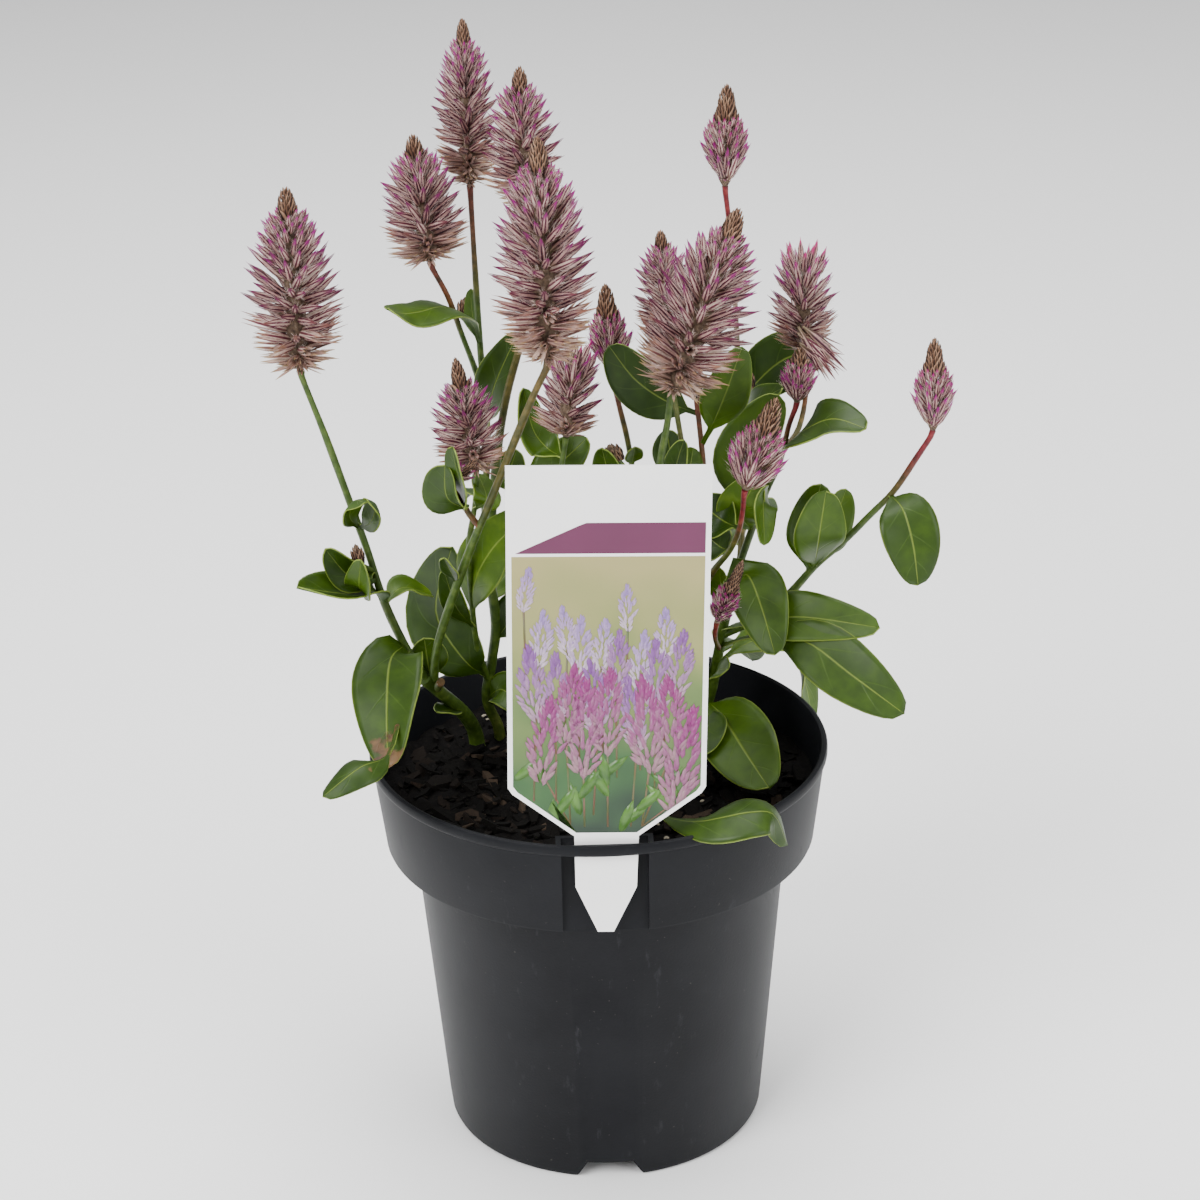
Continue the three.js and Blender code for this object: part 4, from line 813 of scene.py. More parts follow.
def floret_material():
    """Florets: papery tepals, mauve-grey with plum stripes, magenta at young tips, straw at old ones."""
    material, add = started("papery_tepal")
    place = add("ShaderNodeTexCoord", {}, "Object")
    along, keel, youth, tone = (
        add("ShaderNodeAttribute", {}, "Fac", attribute_name=n) for n in ("along", "keel", "youth", "tone")
    )
    fine = add("ShaderNodeTexNoise", {"Vector": place, "Scale": PER_MM / 0.8, "Detail": 3})
    own = add("ShaderNodeMath", {0: tone, 1: 0.5}, operation="MULTIPLY")
    level = add("ShaderNodeMath", {0: fine, 1: 0.5, 2: own}, operation="MULTIPLY_ADD")
    wing = add("ShaderNodeValToRGB", {0: level}, stops=[(0.2, "#936d6b"), (0.5, "#b9948b"), (0.8, "#dec5b8")])
    stops = [(0.2, "#2c0c1c"), (0.5, "#4a192c"), (0.8, "#6a3040")]
    stripe = add("ShaderNodeValToRGB", {0: level}, stops=stops)
    striped_by = add("ShaderNodeMapRange", {0: keel, 1: 0.38, 2: 0.6})
    striped = add("ShaderNodeMix", {0: striped_by, 6: wing, 7: stripe}, 2, data_type="RGBA")
    foot = add("ShaderNodeMapRange", {0: along, 1: 0.0, 2: 0.35, 3: 0.65, 4: 0})
    based = add("ShaderNodeMix", {0: foot, 6: striped, 7: "#77704c"}, 2, data_type="RGBA")
    stops = [
        (0.0, "#a68c5e"), (0.2, "#8c5f4b"), (0.36, "#520a30"),
        (0.6, "#6e0052"), (0.85, "#920078"), (1.0, "#b01a6c"),
    ]
    bright = add("ShaderNodeValToRGB", {0: youth}, stops=stops)
    tip = add("ShaderNodeMapRange", {0: along, 1: 0.74, 2: 0.9, 3: 0, 4: 1})
    tipped = add("ShaderNodeMix", {0: tip, 6: based, 7: bright}, 2, data_type="RGBA")
    old = add("ShaderNodeMapRange", {0: youth, 1: 0.25, 2: 0.0, 3: 0, 4: 0.3})
    colour = add("ShaderNodeMix", {0: old, 6: tipped, 7: "#a08a68"}, 2, data_type="RGBA")
    return ended(material, add, {"Base Color": colour, "Roughness": 0.55, "Specular IOR Level": 0.3})


def hair_material():
    """Silky hairs among the tepals: silver-white with a warm cast."""
    material, add = started("silky_hair")
    tone = add("ShaderNodeAttribute", {}, "Fac", attribute_name="tone")
    stops = [(0.0, "#d3b7b0"), (0.5, "#ead3ca"), (1.0, "#faece2")]
    silver = add("ShaderNodeValToRGB", {0: tone}, stops=stops)
    return ended(material, add, {"Base Color": silver, "Roughness": 0.6, "Specular IOR Level": 0.3})


def scale_material():
    """Closed bud scales: tan and papery, with a dark line down the middle of each."""
    material, add = started("papery_bud_scale")
    place = add("ShaderNodeTexCoord", {}, "Object")
    keel, youth, tone = (
        add("ShaderNodeAttribute", {}, "Fac", attribute_name=n) for n in ("keel", "youth", "tone")
    )
    tan = add("ShaderNodeValToRGB", {0: tone}, stops=[(0.1, "#6b563c"), (0.5, "#8f775a"), (0.9, "#b09876")])
    pink = add("ShaderNodeValToRGB", {0: tone}, stops=[(0.1, "#6e3f3c"), (0.9, "#965c56")])
    shell = add("ShaderNodeMix", {0: youth, 6: tan, 7: pink}, 2, data_type="RGBA")
    line = add("ShaderNodeMapRange", {0: keel, 1: 0.5, 2: 0.75})
    lined = add("ShaderNodeMix", {0: line, 6: shell, 7: "#20100c"}, 2, data_type="RGBA")
    fine = add("ShaderNodeTexNoise", {"Vector": place, "Scale": PER_MM / 0.5})
    bump = add("ShaderNodeBump", {"Height": fine, "Distance": 0.08 * MM})
    look = {"Base Color": lined, "Roughness": 0.6, "Specular IOR Level": 0.3, "Normal": bump}
    return ended(material, add, look)


def rachis_material():
    """Woolly axis of a spike: grey-brown wool that the florets stand in."""
    material, add = started("woolly_axis")
    place = add("ShaderNodeTexCoord", {}, "Object")
    fine = add("ShaderNodeTexNoise", {"Vector": place, "Scale": PER_MM / 0.9, "Detail": 4})
    wool = add("ShaderNodeValToRGB", {0: fine}, stops=[(0.3, "#3a2c22"), (0.6, "#6b5847"), (0.85, "#9b8a76")])
    bump = add("ShaderNodeBump", {"Height": fine, "Distance": 0.4 * MM})
    return ended(material, add, {"Base Color": wool, "Roughness": 0.9, "Normal": bump})


# Pot

POT_SIDES = 128
DRAIN_SIDES = 32
DRAIN_TOP = 20
RIM_IN = 2.2  # thickness of the rim
PAST = 5  # how far a tool goes past what it cuts
SKIN = 0.02  # how far what is joined to the wall stays behind its outer face


def pot_outer():
    """Rings of the outer wall from the foot to the top of the bead, with small rounded edges."""
    return [
        (BASE_R - 1.8, 0),
        (BASE_R - 0.5, 0.5),
        (BASE_R + 0.1, 1.8),
        (NECK_R - 0.15, SHOULDER_Z - 1.4),
        (NECK_R + 0.3, SHOULDER_Z - 0.4),
        (NECK_R + 1.2, SHOULDER_Z),
        (BAND_R - 1, SHOULDER_Z),
        (BAND_R - 0.3, SHOULDER_Z + 0.3),
        (BAND_R, SHOULDER_Z + 1),
        (RIM_R - BEAD_OUT - 0.1, POT_H - BEAD_H - 0.2),
        (RIM_R - 0.2, POT_H - BEAD_H + 0.4),
        (RIM_R, POT_H - BEAD_H + 1),
        (RIM_R, POT_H - 1),
        (RIM_R - 0.3, POT_H - 0.3),
        (RIM_R - 1, POT_H),
    ]


def pot_inner():
    """Rings of the inner wall from the rim down to the floor."""
    return [
        (RIM_R - 1.8, POT_H - 0.3),
        (RIM_R - RIM_IN, POT_H - 1.2),
        (BAND_R - WALL, SHOULDER_Z + WALL + 0.6),
        (NECK_R - WALL, SHOULDER_Z + WALL - 0.6),
        (BASE_R - WALL, WALL),
    ]


def channel_tool(grow, index):
    """A drainage channel's solid: a bar tapered upwards, from the middle out past the wall."""
    bar = block(
        "channel",
        (-CHANNEL_W_LOW / 2 - grow, CHANNEL_W_LOW / 2 + grow),
        (-BASE_R - 10, -CHANNEL_START_R + grow),
        (-1, CHANNEL_H + grow),
    )
    co = places(bar)
    share = (CHANNEL_W_HIGH / 2 + grow) / (CHANNEL_W_LOW / 2 + grow)
    co[co[:, 2] > 0, 0] *= share
    move(bar, co)
    return turned(bar, index * 2 * math.pi / CHANNELS)


def joined_inside(pot, added_wall):
    """Joins a wall to the pot, without what would stand out of the pot's outer face."""
    outside = drawn_up("outside", POT_SIDES, [(r - SKIN, z) for r, z in pot_outer()])
    cut(pot, cut(added_wall, outside, "INTERSECT"), "UNION")


def make_pot():
    """The moulded pot: its turned wall, the walls and room of the tag's slot, the channels and drains."""
    pot = drawn_up("nursery_pot", POT_SIDES, pot_outer() + pot_inner())
    half = SLOT_W / 2
    wide, deep = (-half - WALL, half + WALL), (-RIM_R - PAST, SLOT_FACE_Y + WALL)
    joined_inside(pot, block("cheeks", wide, deep, (SHOULDER_Z + 0.2, POT_H - 0.1)))
    for i in range(CHANNELS):
        joined_inside(pot, channel_tool(WALL, i))
    wide, deep = (-half, half), (-RIM_R - PAST, SLOT_FACE_Y)
    cut(pot, block("pocket", wide, deep, (SHOULDER_Z - 1, POT_H - BEAD_H)))
    cut(pot, block("slot", wide, (-RIM_R + RIM_IN, SLOT_FACE_Y), (SHOULDER_Z + 1, POT_H + 1)))
    for i in range(CHANNELS):
        cut(pot, channel_tool(0, i))
        drain = drawn_up("drain", DRAIN_SIDES, [(DRAIN_R, -PAST), (DRAIN_R, DRAIN_TOP)])
        co = places(drain)
        co[:, 1] -= DRAIN_AT_R * MM
        move(drain, co)
        cut(pot, turned(drain, i * 2 * math.pi / CHANNELS))
    turned(pot, POT_TURN)
    smooth(pot, 32)
    return worn(pot, "pot_plastic", ["pot"], moulded_polypropylene())


# Potting mix

CHIPS = 1500
GRAINS = 36
CHIP_LONGEST = 5.5
CLEAR_OF_EDGE = 4
SOIL_SIDES = 96
SOIL_RINGS = 46
SOIL_GAP = 0.35  # between the mix and the pot's wall
SOIL_DEEP = 9  # how far down the mix's solid is closed
LUMP = 1.6  # as in the part's source
ROUGHNESS = 1.1
BANK_H = 1.5  # how high the mix lies up against the wall
BANK_W = 6


def soil_height(x, y):
    """Height of the mix's top at a place, in mm: the lumps of the part's source, with finer ones."""
    coarse = math.sin(x * 0.31 + 1.7) * math.cos(y * 0.27 - 0.6)
    fine = math.sin(x * 0.83 - y * 0.61) * math.sin(y * 0.77 + x * 0.35)
    rough = noise.fractal(Vector((x / 6, y / 6, 3)), 1.0, 2.0, 4)
    return SOIL_Z + LUMP * (0.6 * coarse + 0.5 * fine) + ROUGHNESS * rough


def soil_edge():
    """Radius of the pot's inside at the height of the mix."""
    rise = (RIM_R - BEAD_OUT - BAND_R) / (POT_H - BEAD_H - SHOULDER_Z)
    return BAND_R - WALL + rise * (SOIL_Z - SHOULDER_Z)


def soil_mass(edge):
    """The mix: a disc with a fine lumpy top, with room for the slot, and closed just under the surface."""
    rings = [(edge - 0.4, SOIL_Z - SOIL_DEEP), (edge, SOIL_Z)]
    rings += [(edge * (1 - i / SOIL_RINGS), SOIL_Z) for i in range(1, SOIL_RINGS)]
    body = drawn_up("potting_mix", SOIL_SIDES, rings)
    co = places(body) / MM
    for p in co:
        if p[2] > SOIL_Z - 0.5:
            p[2] = soil_height(p[0], p[1])
            inset = edge - math.hypot(p[0], p[1])
            uneven = 0.4 + noise.noise(Vector((p[0] / 9, p[1] / 9, 7)))
            p[2] += BANK_H * max(0.0, 1 - inset / BANK_W) * uneven
    move(body, co * MM)
    beside = SLOT_W / 2 + WALL + 0.2
    behind = SLOT_FACE_Y + WALL + 0.2
    cut(body, block("slot_room", (-beside, beside), (-RIM_R, behind), (SOIL_Z - 20, POT_H)))
    return taken(body)


def strewn(edge):
    """Bark chips and pale grains on the mix. A chip's tone is its colour, and a grain's is past any."""
    random_draw = random.Random(4)
    chip = bark_chip()
    pebble = taken(drawn_up("pebble", 6, [(0.5, 0), (1, 0.35), (0.95, 0.8), (0.5, 1.15)]))
    shapes = []
    for i in range(CHIPS + GRAINS):
        stone = i >= CHIPS
        shape = pebble if stone else chip
        away = edge * math.sqrt(random_draw.random()) * 0.97
        angle = random_draw.uniform(0, 2 * math.pi)
        x, y = away * math.cos(angle), away * math.sin(angle)
        if away > edge - CLEAR_OF_EDGE or blocked(x, y):
            continue
        long = random_draw.uniform(0.5, 1.0) if stone else random_draw.lognormvariate(0.75, 0.45)
        long = min(long, CHIP_LONGEST)
        wide = long if stone else long * random_draw.uniform(0.3, 0.6)
        thick = long * 0.8 if stone else long * random_draw.uniform(0.12, 0.3)
        points = shape.points * np.array([long, wide, thick])
        points = points @ spun(random_draw, 0.5).T + np.array([x, y, soil_height(x, y) + 0.25 * thick])
        tone = 2.0 if stone else 0.12 + 0.88 * random_draw.random() ** 2
        shapes.append(shape.placed(points, tone=tone))
    return shapes


def make_soil():
    edge = soil_edge() - SOIL_GAP
    mass = soil_mass(edge)
    soil = joined("potting_mix", [mass.placed(mass.points, tone=0.0)] + strewn(edge))
    smooth(soil, 25)
    turned(soil, POT_TURN)
    return worn(soil, "potting_mix", ["soil"], bark_mix())


def blocked(x, y):
    """Whether a place on the mix belongs to the slot's wall or to a stem's root."""
    clear = 3
    if abs(x) < SLOT_W / 2 + WALL + clear and y < SLOT_FACE_Y + WALL + clear:
        return True
    roots = [row["root"] for shoot in SHOOTS.values() for row in shoot["stems"].values() if "root" in row]
    return any(math.hypot(x - a, y - b) < clear + 1 for a, b in roots)


def bark_chip():
    """A shred of bark, one unit long each way from its middle: a bevelled block, tapered and bent."""
    chip = block("chip", (-1, 1), (-1, 1), (-1, 1))
    active(chip)
    bpy.ops.object.mode_set(mode="EDIT")
    bpy.ops.mesh.select_all(action="SELECT")
    bpy.ops.mesh.subdivide(number_cuts=1)
    bpy.ops.object.mode_set(mode="OBJECT")
    shape = taken(chip)
    p = shape.points
    end = np.abs(p[:, 0])
    p[:, 1] *= 1 - 0.45 * end**2
    p[:, 2] = p[:, 2] * (1 - 0.5 * end) + 0.5 * p[:, 0] ** 2
    p[:, 1] += 0.25 * np.sin(3 * p[:, 0] + p[:, 2])
    return shape


def spun(random_draw, tip):
    """A turn about the upright by any angle, with a tilt of up to tip."""
    a = random_draw.uniform(0, 2 * math.pi)
    b = random_draw.uniform(-tip, tip)
    c = random_draw.uniform(-tip, tip)
    z = np.array([[math.cos(a), -math.sin(a), 0], [math.sin(a), math.cos(a), 0], [0, 0, 1]])
    x = np.array([[1, 0, 0], [0, math.cos(b), -math.sin(b)], [0, math.sin(b), math.cos(b)]])
    y = np.array([[math.cos(c), 0, math.sin(c)], [0, 1, 0], [-math.sin(c), 0, math.cos(c)]])
    return z @ x @ y


# Plant tag

BORDER = 1.5  # white edge round the print, in mm
INK = 0.04  # thickness of the print's layers, in mm
BAND_LOW = 215
BAND_HIGH = 224
PLUMES = 22
STROKES = 70
PRINT_LEAVES = 16
PLUME_STEP = 0.618034  # shares of the width that such steps give lie evenly and in no rows
LEAF_STEP = 0.381966
LEAF_LEVEL_STEP = 0.7548


def on_tag(obj):
    """Moves a piece drawn in the tag's own plane, x across and z up from the neck, to the tag."""
    co = places(obj) / MM
    c, s = math.cos(TAG_LEAN), math.sin(TAG_LEAN)
    x, z = co[:, 0].copy(), co[:, 2].copy()
    co[:, 0] = c * x - s * z + TAG_CENTRE_X
    co[:, 2] = s * x + c * z + TAG_NECK_Z
    co[:, 1] += TAG_FRONT_Y
    move(obj, co * MM)
    return turned(obj, POT_TURN)


def sheet_of(name, outline, layer):
    """A thin plate of ink with this outline of (x, z) in the tag's plane. A higher layer lies further out."""
    bpy.ops.object.select_all(action="DESELECT")
    bpy.ops.mesh.primitive_circle_add(vertices=len(outline), radius=1, fill_type="NGON")
    plate = bpy.context.object
    plate.name = name
    near = -(layer + 1) * INK
    co = np.array([(x, near, z) for x, z in outline]) * MM
    move(plate, co)
    active(plate)
    bpy.ops.object.mode_set(mode="EDIT")
    bpy.ops.mesh.select_all(action="SELECT")
    back = {"value": (0, (layer + 1) * INK * MM, 0)}
    bpy.ops.mesh.extrude_region_move(TRANSFORM_OT_translate=back)
    bpy.ops.object.mode_set(mode="OBJECT")
    return facing_out(plate)


def panel_outline(inset):
    """The panel's lower part as (half width, height above the neck), inset for the border."""
    half = TAG_PANEL_W / 2 - inset
    shoulder = TAG_SHOULDER_Z - TAG_NECK_Z
    low = inset * 0.75
    return [
        (TAG_NECK_W / 2 - inset * 0.4, low),
        (half - 1.2, shoulder - 2 + low * 0.6),
        (half, shoulder + low * 0.4),
    ]


def half_width_at(z):
    """Half the picture's width at a height above the neck."""
    rows = panel_outline(BORDER)
    return float(np.interp(z, [r[1] for r in rows], [r[0] for r in rows]))


def oval(x, z, wide, high, lean, sides=10, point=0.0):
    """Outline of an oval in the tag's plane, leaning to the right, pointed at its top where point is 1."""
    c, s = math.cos(lean), math.sin(lean)
    outline = []
    for k in range(sides):
        a = 2 * math.pi * k / sides
        u, v = wide / 2 * math.sin(a), -high / 2 * math.cos(a)
        u *= 1 - point * max(0.0, 2 * v / high) ** 1.5
        outline.append((x + u * c + v * s, z - u * s + v * c))
    return outline


def drawn_plumes(half, top, drawing):
    """The plumes from far to near, each (x, z, high, lean, nearness): the near ones are larger and lower."""
    plumes = []
    for i in range(PLUMES):
        near = i / (PLUMES - 1)
        high = 12 + 17 * near * drawing.uniform(0.8, 1.1)
        x = -half + 4 + (2 * half - 8) * ((i * PLUME_STEP) % 1)
        z = top - 12 - 40 * near - high * 0.25 + drawing.uniform(-5, 5)
        plumes.append((x, z, high, drawing.uniform(-0.18, 0.18), near))
    return plumes


def drawn_leaves(half, drawing):
    leaves = []
    for i in range(PRINT_LEAVES):
        x = -half + 4 + (2 * half - 8) * ((i * LEAF_STEP + 0.1) % 1)
        z = 6 + 20 * ((i * LEAF_LEVEL_STEP) % 1)
        leaves.append(oval(x, z, 3.2, 11, drawing.uniform(-0.9, 0.9), 10, 0.8))
    return leaves


def make_print():
    """Generic print: a plain plum band with a slanted end, and below it a meadow of simple plumes."""
    half = TAG_PANEL_W / 2 - BORDER
    low, high = BAND_LOW - TAG_NECK_Z, BAND_HIGH - TAG_NECK_Z
    right = panel_outline(BORDER) + [(half, low - 0.9)]
    ground = sheet_of("print_meadow", right + [(-x, z) for x, z in reversed(right)], 0)
    slanted = [(-half + 1, low), (half, low), (half, high), (-6, high), (-8, high - 0.8)]
    band = sheet_of("print_band", slanted, 0)
    pieces = [(ground, meadow_ink()), (band, printed_ink("plum_ink", [(0, "#52163a"), (1, "#601e46")], 20))]
    drawing = random.Random(23)
    plumes = drawn_plumes(half, low, drawing)
    leaves = drawn_leaves(half, drawing)
    stalks = [stalk_outline(*plume[:4]) for plume in plumes]
    stalk_ink = printed_ink("stalk_ink", [(0.3, "#47592a"), (0.7, "#6f4a3c")], 6)
    leaf_ink = printed_ink("leaf_ink", [(0.3, "#2a4f18"), (0.7, "#557f30")], 5)
    pieces.append((flat_group("print_stalks", stalks, 1), stalk_ink))
    pieces.append((flat_group("print_leaves", leaves, 2), leaf_ink))
    groups = [
        ("far", 0, 0.34, plume_ink("pale_lilac_ink", "#b5a3b2", "#a48cb2", "#8a70a8")),
        ("middle", 0.34, 0.67, plume_ink("lilac_ink", "#9d8090", "#8a6390", "#743f88")),
        ("near", 0.67, 1.1, plume_ink("magenta_ink", "#8b6a72", "#84466f", "#7c1a64")),
    ]
    for layer, (key, least, most, ink) in enumerate(groups, 3):
        chosen = [plume for plume in plumes if least <= plume[4] < most]
        outlines = [stroke for plume in chosen for stroke in plume_outlines(*plume[:4], drawing)]
        pieces.append((flat_group("print_plumes_" + key, outlines, layer, True), ink))
    for piece, ink in pieces:
        worn(on_tag(piece), "tag_plastic", [], ink)


def stalk_outline(x, z, high, lean):
    """A thin stalk from inside the picture's lower edge up to a plume's foot."""
    low = max(3.0, z - high / 2 - 26)
    foot = math.copysign(min(abs(x), half_width_at(low) - 1), x)
    top_x = x - math.sin(lean) * high * 0.45
    top_z = z - math.cos(lean) * high * 0.45
    return [(foot - 0.25, low), (foot + 0.25, low), (top_x + 0.3, top_z), (top_x - 0.3, top_z)]


def plume_outlines(x, z, high, lean, drawing):
    """A plume as many small pointed strokes that stand out from its middle, from its foot to its tip."""
    strokes = []
    for k in range(STROKES):
        s = k / (STROKES - 1)
        width = high * 0.27 * math.sin(math.pi * min(1, 0.14 + s * 0.86)) ** 0.8
        side = (-1) ** k * drawing.uniform(0.1, 1)
        along = (s - 0.5) * high
        u = side * width * 0.72
        tilt = lean + side * 0.9 * (1 - 0.6 * s)
        px = x + u * math.cos(lean) + along * math.sin(lean)
        pz = z - u * math.sin(lean) + along * math.cos(lean)
        strokes.append(oval(px, pz, high * 0.055, high * 0.17, tilt, 6, 0.8))
    return strokes


def kept_inside(x, z):
    """A place moved into the picture where it lies past an edge."""
    room = half_width_at(z) - 0.2
    return float(np.clip(x, -room, room)), min(max(z, 1.4), BAND_LOW - TAG_NECK_Z - 1.6)


def flat_group(name, outlines, layer, rise=False):
    """Many thin plates as one piece, kept inside the picture. Each rise value runs from foot to tip."""
    shapes = []
    for number, outline in enumerate(outlines):
        n = len(outline)
        flat = [kept_inside(x, z) for x, z in outline]
        out = -(layer + 1) * INK - 0.004 * (number % 9)
        points = [(x, out, z) for x, z in flat] + [(x, -INK * 0.5, z) for x, z in flat]
        faces = [list(range(n)), [2 * n - 1 - k for k in range(n)]]
        faces += [[k, n + k, n + (k + 1) % n, (k + 1) % n] for k in range(n)]
        level = (number % STROKES) / (STROKES - 1) if rise else 0.5
        shapes.append(Shape(points, faces, rise=[level] * (2 * n)))
    return facing_out(joined(name, shapes))


def make_tag():
    """The stamped sheet keeps its CAD solid and gets its finish, with the print as thin layers on it."""
    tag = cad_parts["plant_tag"]
    tag.data.materials.clear()
    tag.data.materials.append(white_sheet_plastic())
    make_print()


# Stems

STEM_SIDES = 10
STEM_STEP = 2.2  # from one ring of a stem to the next
CURVE_POINTS = 240
EVEN_POINTS = 120
STRAIGHT_END = 0.6
BLUSH = {  # how red each stem is at its foot and at its end
    "a_trunk": (0.1, 0.15),
    "a_long": (0.15, 0.1),
    "a_front": (0.1, 0.75),
    "a_nodding": (0.7, 1.0),
    "a_stub": (0.3, 0.5),
    "b_side": (0.2, 1.0),
    "b_tall": (0.15, 0.75),
    "b_trunk": (0.2, 0.5),
    "b_low": (0.1, 0.2),
    "c_orange": (0.1, 1.0),
    "c_leaning": (0.1, 0.2),
    "c_hidden": (0.2, 0.7),
    "d_blunt": (0.1, 0.9),
    "d_pink": (0.4, 1.3),
    "d_mauve": (0.2, 1.0),
    "d_shed": (0.6, 0.6),
    "d_back": (0.3, 1.1),
    "d_wide": (0.0, 1.2),
    "d_small": (0.6, 1.0),
}


def end_under(row):
    """The last stretch of a stem, in line with what it bears."""
    end, tip = seen(row["foot"]), seen(row["tip"])
    return [end - (tip - end).normalized() * STRAIGHT_END, end]


def stem_curve(row, curves):
    """A stem's line, from its root or the stem it grows on to the foot of what it bears."""
    if "root" in row:
        x, y = row["root"]
        start = [(x, y, SOIL_Z - ROOT_DEPTH), (x, y, SOIL_Z + 3)]
    else:
        start = [nearest(curves[row["on"]], row["near"])]
    end = end_under({**SPIKES, **BUDS}[row["bears"]]) if "bears" in row else []
    return evenly(run_of(start + [seen(p) for p in row["route"]] + end, CURVE_POINTS), EVEN_POINTS)


def tube(curve, radius, sides):
    """Rings of a tube along a curve, turned as little as may be from one ring to the next."""
    ahead = unit(np.gradient(curve, axis=0))
    side = unit(np.cross(ahead[0], (0.3, 0.9, 0.1)))
    rings = []
    for p, d, r in zip(curve, ahead, radius):
        side = unit(side - d * (side @ d))
        up = np.cross(d, side)
        a = np.arange(sides) * 2 * math.pi / sides
        rings.append(p + r * (np.cos(a)[:, None] * side + np.sin(a)[:, None] * up))
    return np.concatenate(rings)


def tube_faces(rings, sides):
    """The faces between a tube's rings, and its two ends."""
    faces = []
    for i in range(rings - 1):
        for k in range(sides):
            a, b = i * sides + k, i * sides + (k + 1) % sides
            faces.append([a, b, b + sides, a + sides])
    faces.append(list(range(sides))[::-1])
    faces.append([(rings - 1) * sides + k for k in range(sides)])
    return faces


def stem_shape(name, row, curve, random_draw):
    """A stem: a tapered tube, a little swollen at its joints, with a blush that grows along it."""
    length = np.linalg.norm(np.diff(curve, axis=0), axis=1).sum()
    count = max(6, int(length / STEM_STEP))
    line = evenly(curve, count)
    t = np.linspace(0, 1, count)
    low, high = row["thick"]
    phase = random_draw.uniform(0, 6)
    swell = 1 + 0.05 * np.sin(t * length / 9 + phase) + 0.04 * np.sin(t * length / 4.3)
    radius = (low + (high - low) * t) * swell
    if "bears" in row and row["bears"] in SPIKES:
        radius *= 1 + 0.25 * np.clip((t - 1) * length / 5 + 1, 0, 1) ** 2
    foot, end = BLUSH.get(name, (0.1, 0.1))
    blush = foot + (end - foot) * t**3 + 0.15 * np.sin(t * 9 + phase)
    points = tube(line, radius, STEM_SIDES)
    return Shape(points, tube_faces(count, STEM_SIDES), blush=np.repeat(blush, STEM_SIDES))


# Leaves

BLADE_ACROSS = 10
BLADE_ALONG = 20
BLADE_THICK = 0.45
STALK_HALF = 0.75
LINE_STEPS = 60  # along a leaf's own line
COMMON_WIDTH = 18  # of a leaf whose edges wave by the common measure
LEAF_FOOT_POWER = 0.9
LEAF_TIP_POWER = 0.45
BURNT = {  # by a blade's tip: how dead and brown it is at each share of its length
    (388, 767): [(0.55, 0), (0.95, 0.6)],
    (323, 797): [(0.1, 0.8), (0.6, 0.35), (1, 0.2)],
}


def half_width(t, wide, stalk, fullest):
    """Half the blade's width at each share of its length: a leaf's oval, on a stalk."""
    u = np.clip((t - stalk) / (1 - stalk), 0, 1)
    power = math.log(0.5) / math.log(fullest)
    roundness = LEAF_FOOT_POWER + (LEAF_TIP_POWER - LEAF_FOOT_POWER) * u
    body = wide / 2 * np.maximum(np.sin(math.pi * u**power), 0) ** roundness
    return np.maximum(np.where(t < 0.97, STALK_HALF, 0.05), body)


def blade_grid():
    """A flat grid, 1 long and 1 across, which every blade is bent from."""
    bpy.ops.object.select_all(action="DESELECT")
    bpy.ops.mesh.primitive_grid_add(x_subdivisions=BLADE_ACROSS, y_subdivisions=BLADE_ALONG, size=1)
    grid = taken(bpy.context.object)
    grid.points /= 1000
    return grid


def leaf_route(row, curves):
    """The points that a leaf's line runs through."""
    foot = nearest(curves[row["on"]], row["near"])
    tip = np.array(seen(row["tip"]))
    via = [np.array(seen(p)) for p in row["via"]]
    if not via:
        via = [(foot + tip) / 2 + unit(np.array(row["face"])) * row["arch"]]
    return [foot, *via, tip]


def leaf_shape(grid, row, curves, random_draw):
    """A blade: the grid bent along the leaf's line, folded at its rib and waved at its edges."""
    line = run_of(leaf_route(row, curves), LINE_STEPS + 1)
    across = grid.points[:, 0] * 2
    t = np.clip(grid.points[:, 1] + 0.5, 0, 1)
    t = 1 - (1 - t) ** 1.3
    at = t * LINE_STEPS
    low = np.minimum(at.astype(int), LINE_STEPS - 1)
    share = (at - low)[:, None]
    middle = line[low] * (1 - share) + line[low + 1] * share
    ahead = unit(np.gradient(line, axis=0))
    ahead = unit(ahead[low] * (1 - share) + ahead[low + 1] * share)
    face = unit(np.array(row["face"], float))
    side = unit(np.cross(ahead, face))
    up = unit(np.cross(side, ahead))
    fold = math.radians(row["fold"])
    width = half_width(t, row["wide"], row["stalk"], row["fullest"])
    u = across * width
    phase = random_draw.uniform(0, 6)
    size = row["wide"] / COMMON_WIDTH
    wave = 0.5 * size * np.sin(t * 13 + phase + np.sign(across)) * np.abs(across) ** 2
    rise = width * math.sin(fold) * np.abs(across) ** 1.5 + wave
    curl = 0.35 * size * np.sin(t * 5 + phase)
    points = middle + side * (u * math.cos(fold))[:, None] + up * (rise + curl * (t * (1 - t)) * 2)[:, None]
    shape = grid.placed(points, tone=random_draw.random())
    burnt = BURNT.get(row["tip"][:2], [(0, 0)])
    shape.values["age"] = np.interp(t, [b[0] for b in burnt], [b[1] for b in burnt])
    return shape


